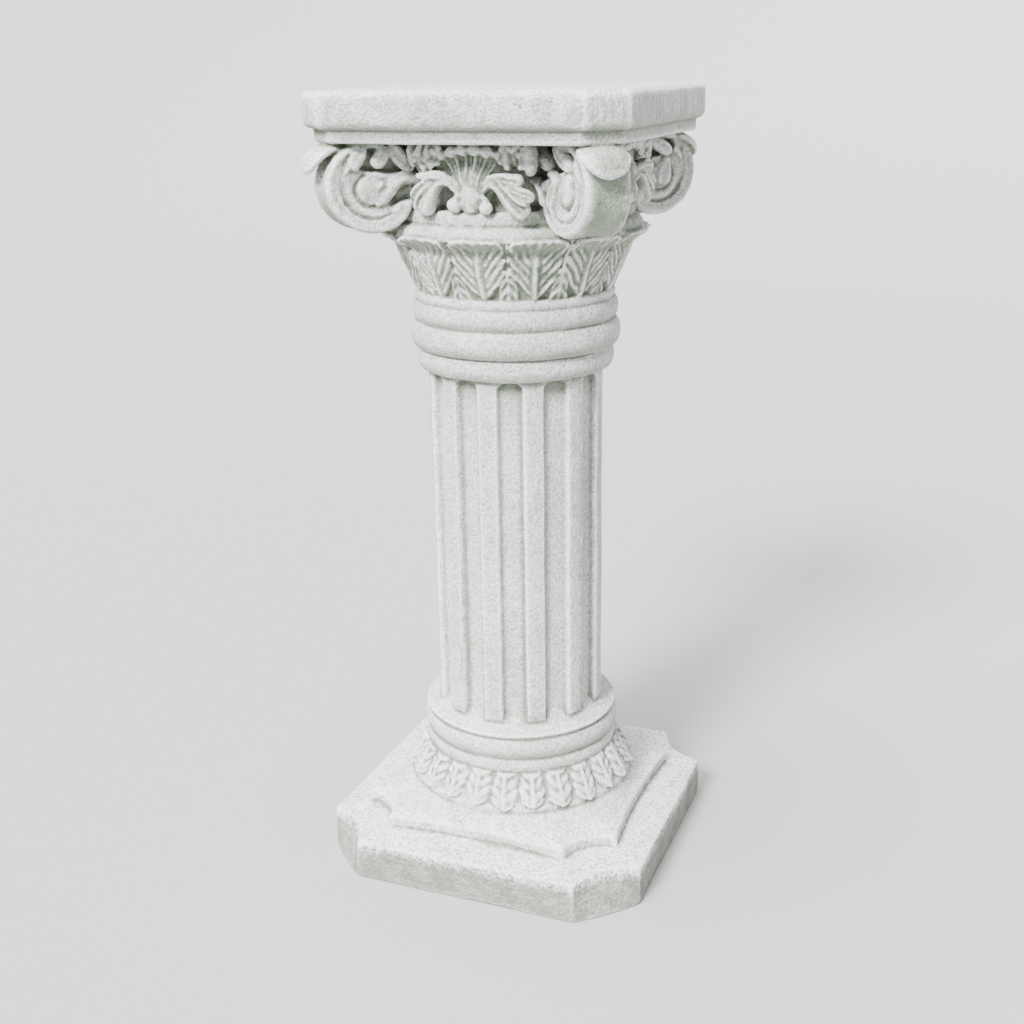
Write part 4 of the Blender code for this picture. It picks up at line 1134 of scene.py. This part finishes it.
    # Painted highlights on ridges and arrises, weaker near the ground, and the grain over all
    # Painted highlight: convex ridges and arrises are whitened
    proud = n.times(n.spread(hollow, -0.10, -0.50), n.spread(height_at, 0.020, 0.045, 0.15, 0.70))
    base = n.coat(base, (0.93, 0.93, 0.925, 1), proud)
    shade = n.spread(grain, 0.32, 0.68, 0.72, 1.14)
    grey = n.add("ShaderNodeCombineColor", {"Red": shade, "Green": shade, "Blue": shade}).outputs[0]
    n.put(shader.inputs["Base Color"], n.mix(1.0, base, grey, blend_type="MULTIPLY"))
    n.put(shader.inputs["Roughness"], n.spread(grain, 0.3, 0.7, 0.98, 0.84))
    n.put(shader.inputs["Specular IOR Level"], 0.25)

    # Relief too fine for the mesh
    cells = n.add("ShaderNodeTexVoronoi", {"Vector": place, "Scale": 210.0}, feature="F1")
    pits = n.times(n.spread(cells.outputs["Distance"], 0.30, 0.06),
                   n.spread(n.noise(place, 60.0), 0.50, 0.60))
    height = n.maths("ADD", n.times(grain, 0.45), n.times(mottle, 1.5))
    height = n.maths("SUBTRACT", height, n.times(pits, 0.6))
    height = n.maths("ADD", height, n.times(streaks, streaked, 0.7))
    bump = n.add("ShaderNodeBump", {"Height": height, "Strength": 0.8, "Distance": 0.0028})
    n.put(shader.inputs["Normal"], bump.outputs["Normal"])
    return material


def floor_material():
    """A dull pale grey."""
    material, shader = new_material("pale_floor")
    shader.inputs["Base Color"].default_value = (0.37, 0.37, 0.37, 1)
    shader.inputs["Roughness"].default_value = 0.9
    return material


# Stage

def camera():
    """The photograph's view: from the front right, a little above the column's top."""
    azimuth = radians(21.56)
    distance, eye_height = 1.716 * TOP_Z, 1.028 * TOP_Z
    place = Vector((distance * sin(azimuth), -distance * cos(azimuth), eye_height))
    look, pitch, roll = azimuth + radians(0.11), radians(18.35), radians(-0.90)
    forward = Vector((-sin(look) * cos(pitch), cos(look) * cos(pitch), -sin(pitch)))
    level_right = forward.cross(Vector((0, 0, 1))).normalized()
    level_up = level_right.cross(forward)
    right = level_right * cos(roll) + level_up * sin(roll)
    up = level_up * cos(roll) - level_right * sin(roll)
    picture, focal_length, off_centre = 1024, 1359, -4
    data = bpy.data.cameras.new("photo_camera")
    data.sensor_width = 36.0
    data.lens = data.sensor_width * focal_length / picture
    data.shift_x = off_centre / picture
    item = linked("photo_camera", data)
    item.matrix_world = Matrix.Translation(place) @ Matrix((right, up, -forward)).transposed().to_4x4()
    bpy.context.scene.camera = item


def sun(name, towards, strength, spread):
    """A soft distant lamp that shines from the given direction."""
    data = bpy.data.lights.new(name, "SUN")
    data.energy = strength
    data.angle = radians(spread)
    linked(name, data).rotation_euler = Vector(towards).to_track_quat("Z", "Y").to_euler()


def stage():
    """A pale floor that rises far off like a studio sweep, a pale room and two soft suns."""
    around = 96
    level, reach, sweep_out, sweep_up = 0.8, 3.0, 4.0, 3.2
    bands = [(level, 0.0), (reach, 0.0)]
    bands += [(reach + sweep_out * sin(a), sweep_up * (1 - cos(a)))
              for a in np.linspace(0, pi / 2, 14)[1:]]
    points = [(0.0, 0.0, FLOOR_Z)]
    for radius, rise in bands:
        points += [(radius * cos(a), radius * sin(a), FLOOR_Z + rise)
                   for a in np.linspace(0, tau, around, endpoint=False)]
    faces = [(0, 1 + i, 1 + (i + 1) % around) for i in range(around)]
    for band in range(len(bands) - 1):
        a, b = 1 + band * around, 1 + (band + 1) * around
        faces += [(a + i, b + i, b + (i + 1) % around, a + (i + 1) % around) for i in range(around)]
    mesh = bpy.data.meshes.new("floor")
    mesh.from_pydata(points, [], faces)
    mesh.shade_smooth()
    mesh.materials.append(floor_material())
    linked("floor", mesh)
    world = bpy.data.worlds.new("soft_room")
    world.use_nodes = True
    room = world.node_tree.nodes["Background"]
    room.inputs["Color"].default_value = (1.0, 1.0, 1.0, 1)
    room.inputs["Strength"].default_value = 0.50
    bpy.context.scene.world = world
    sun("key", (-0.20, -1.0, 0.80), 9.8, 16)
    sun("overhead", (-0.15, -0.2, 1.0), 8.0, 45)


def column():
    """The casting, one piece that stands for the solid."""
    mesh = remeshed(casting())
    worn(mesh)
    hollow_marks(mesh)
    mesh = thinned(mesh)
    without_specks(mesh)
    kept_inside(mesh)
    hidden_marks(mesh)
    mesh.shade_smooth()
    mesh.name = "column_casting"
    mesh.materials.append(concrete())
    piece = linked("column_casting", mesh)
    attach(piece, "root")
    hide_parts("column")


camera()
stage()
column()
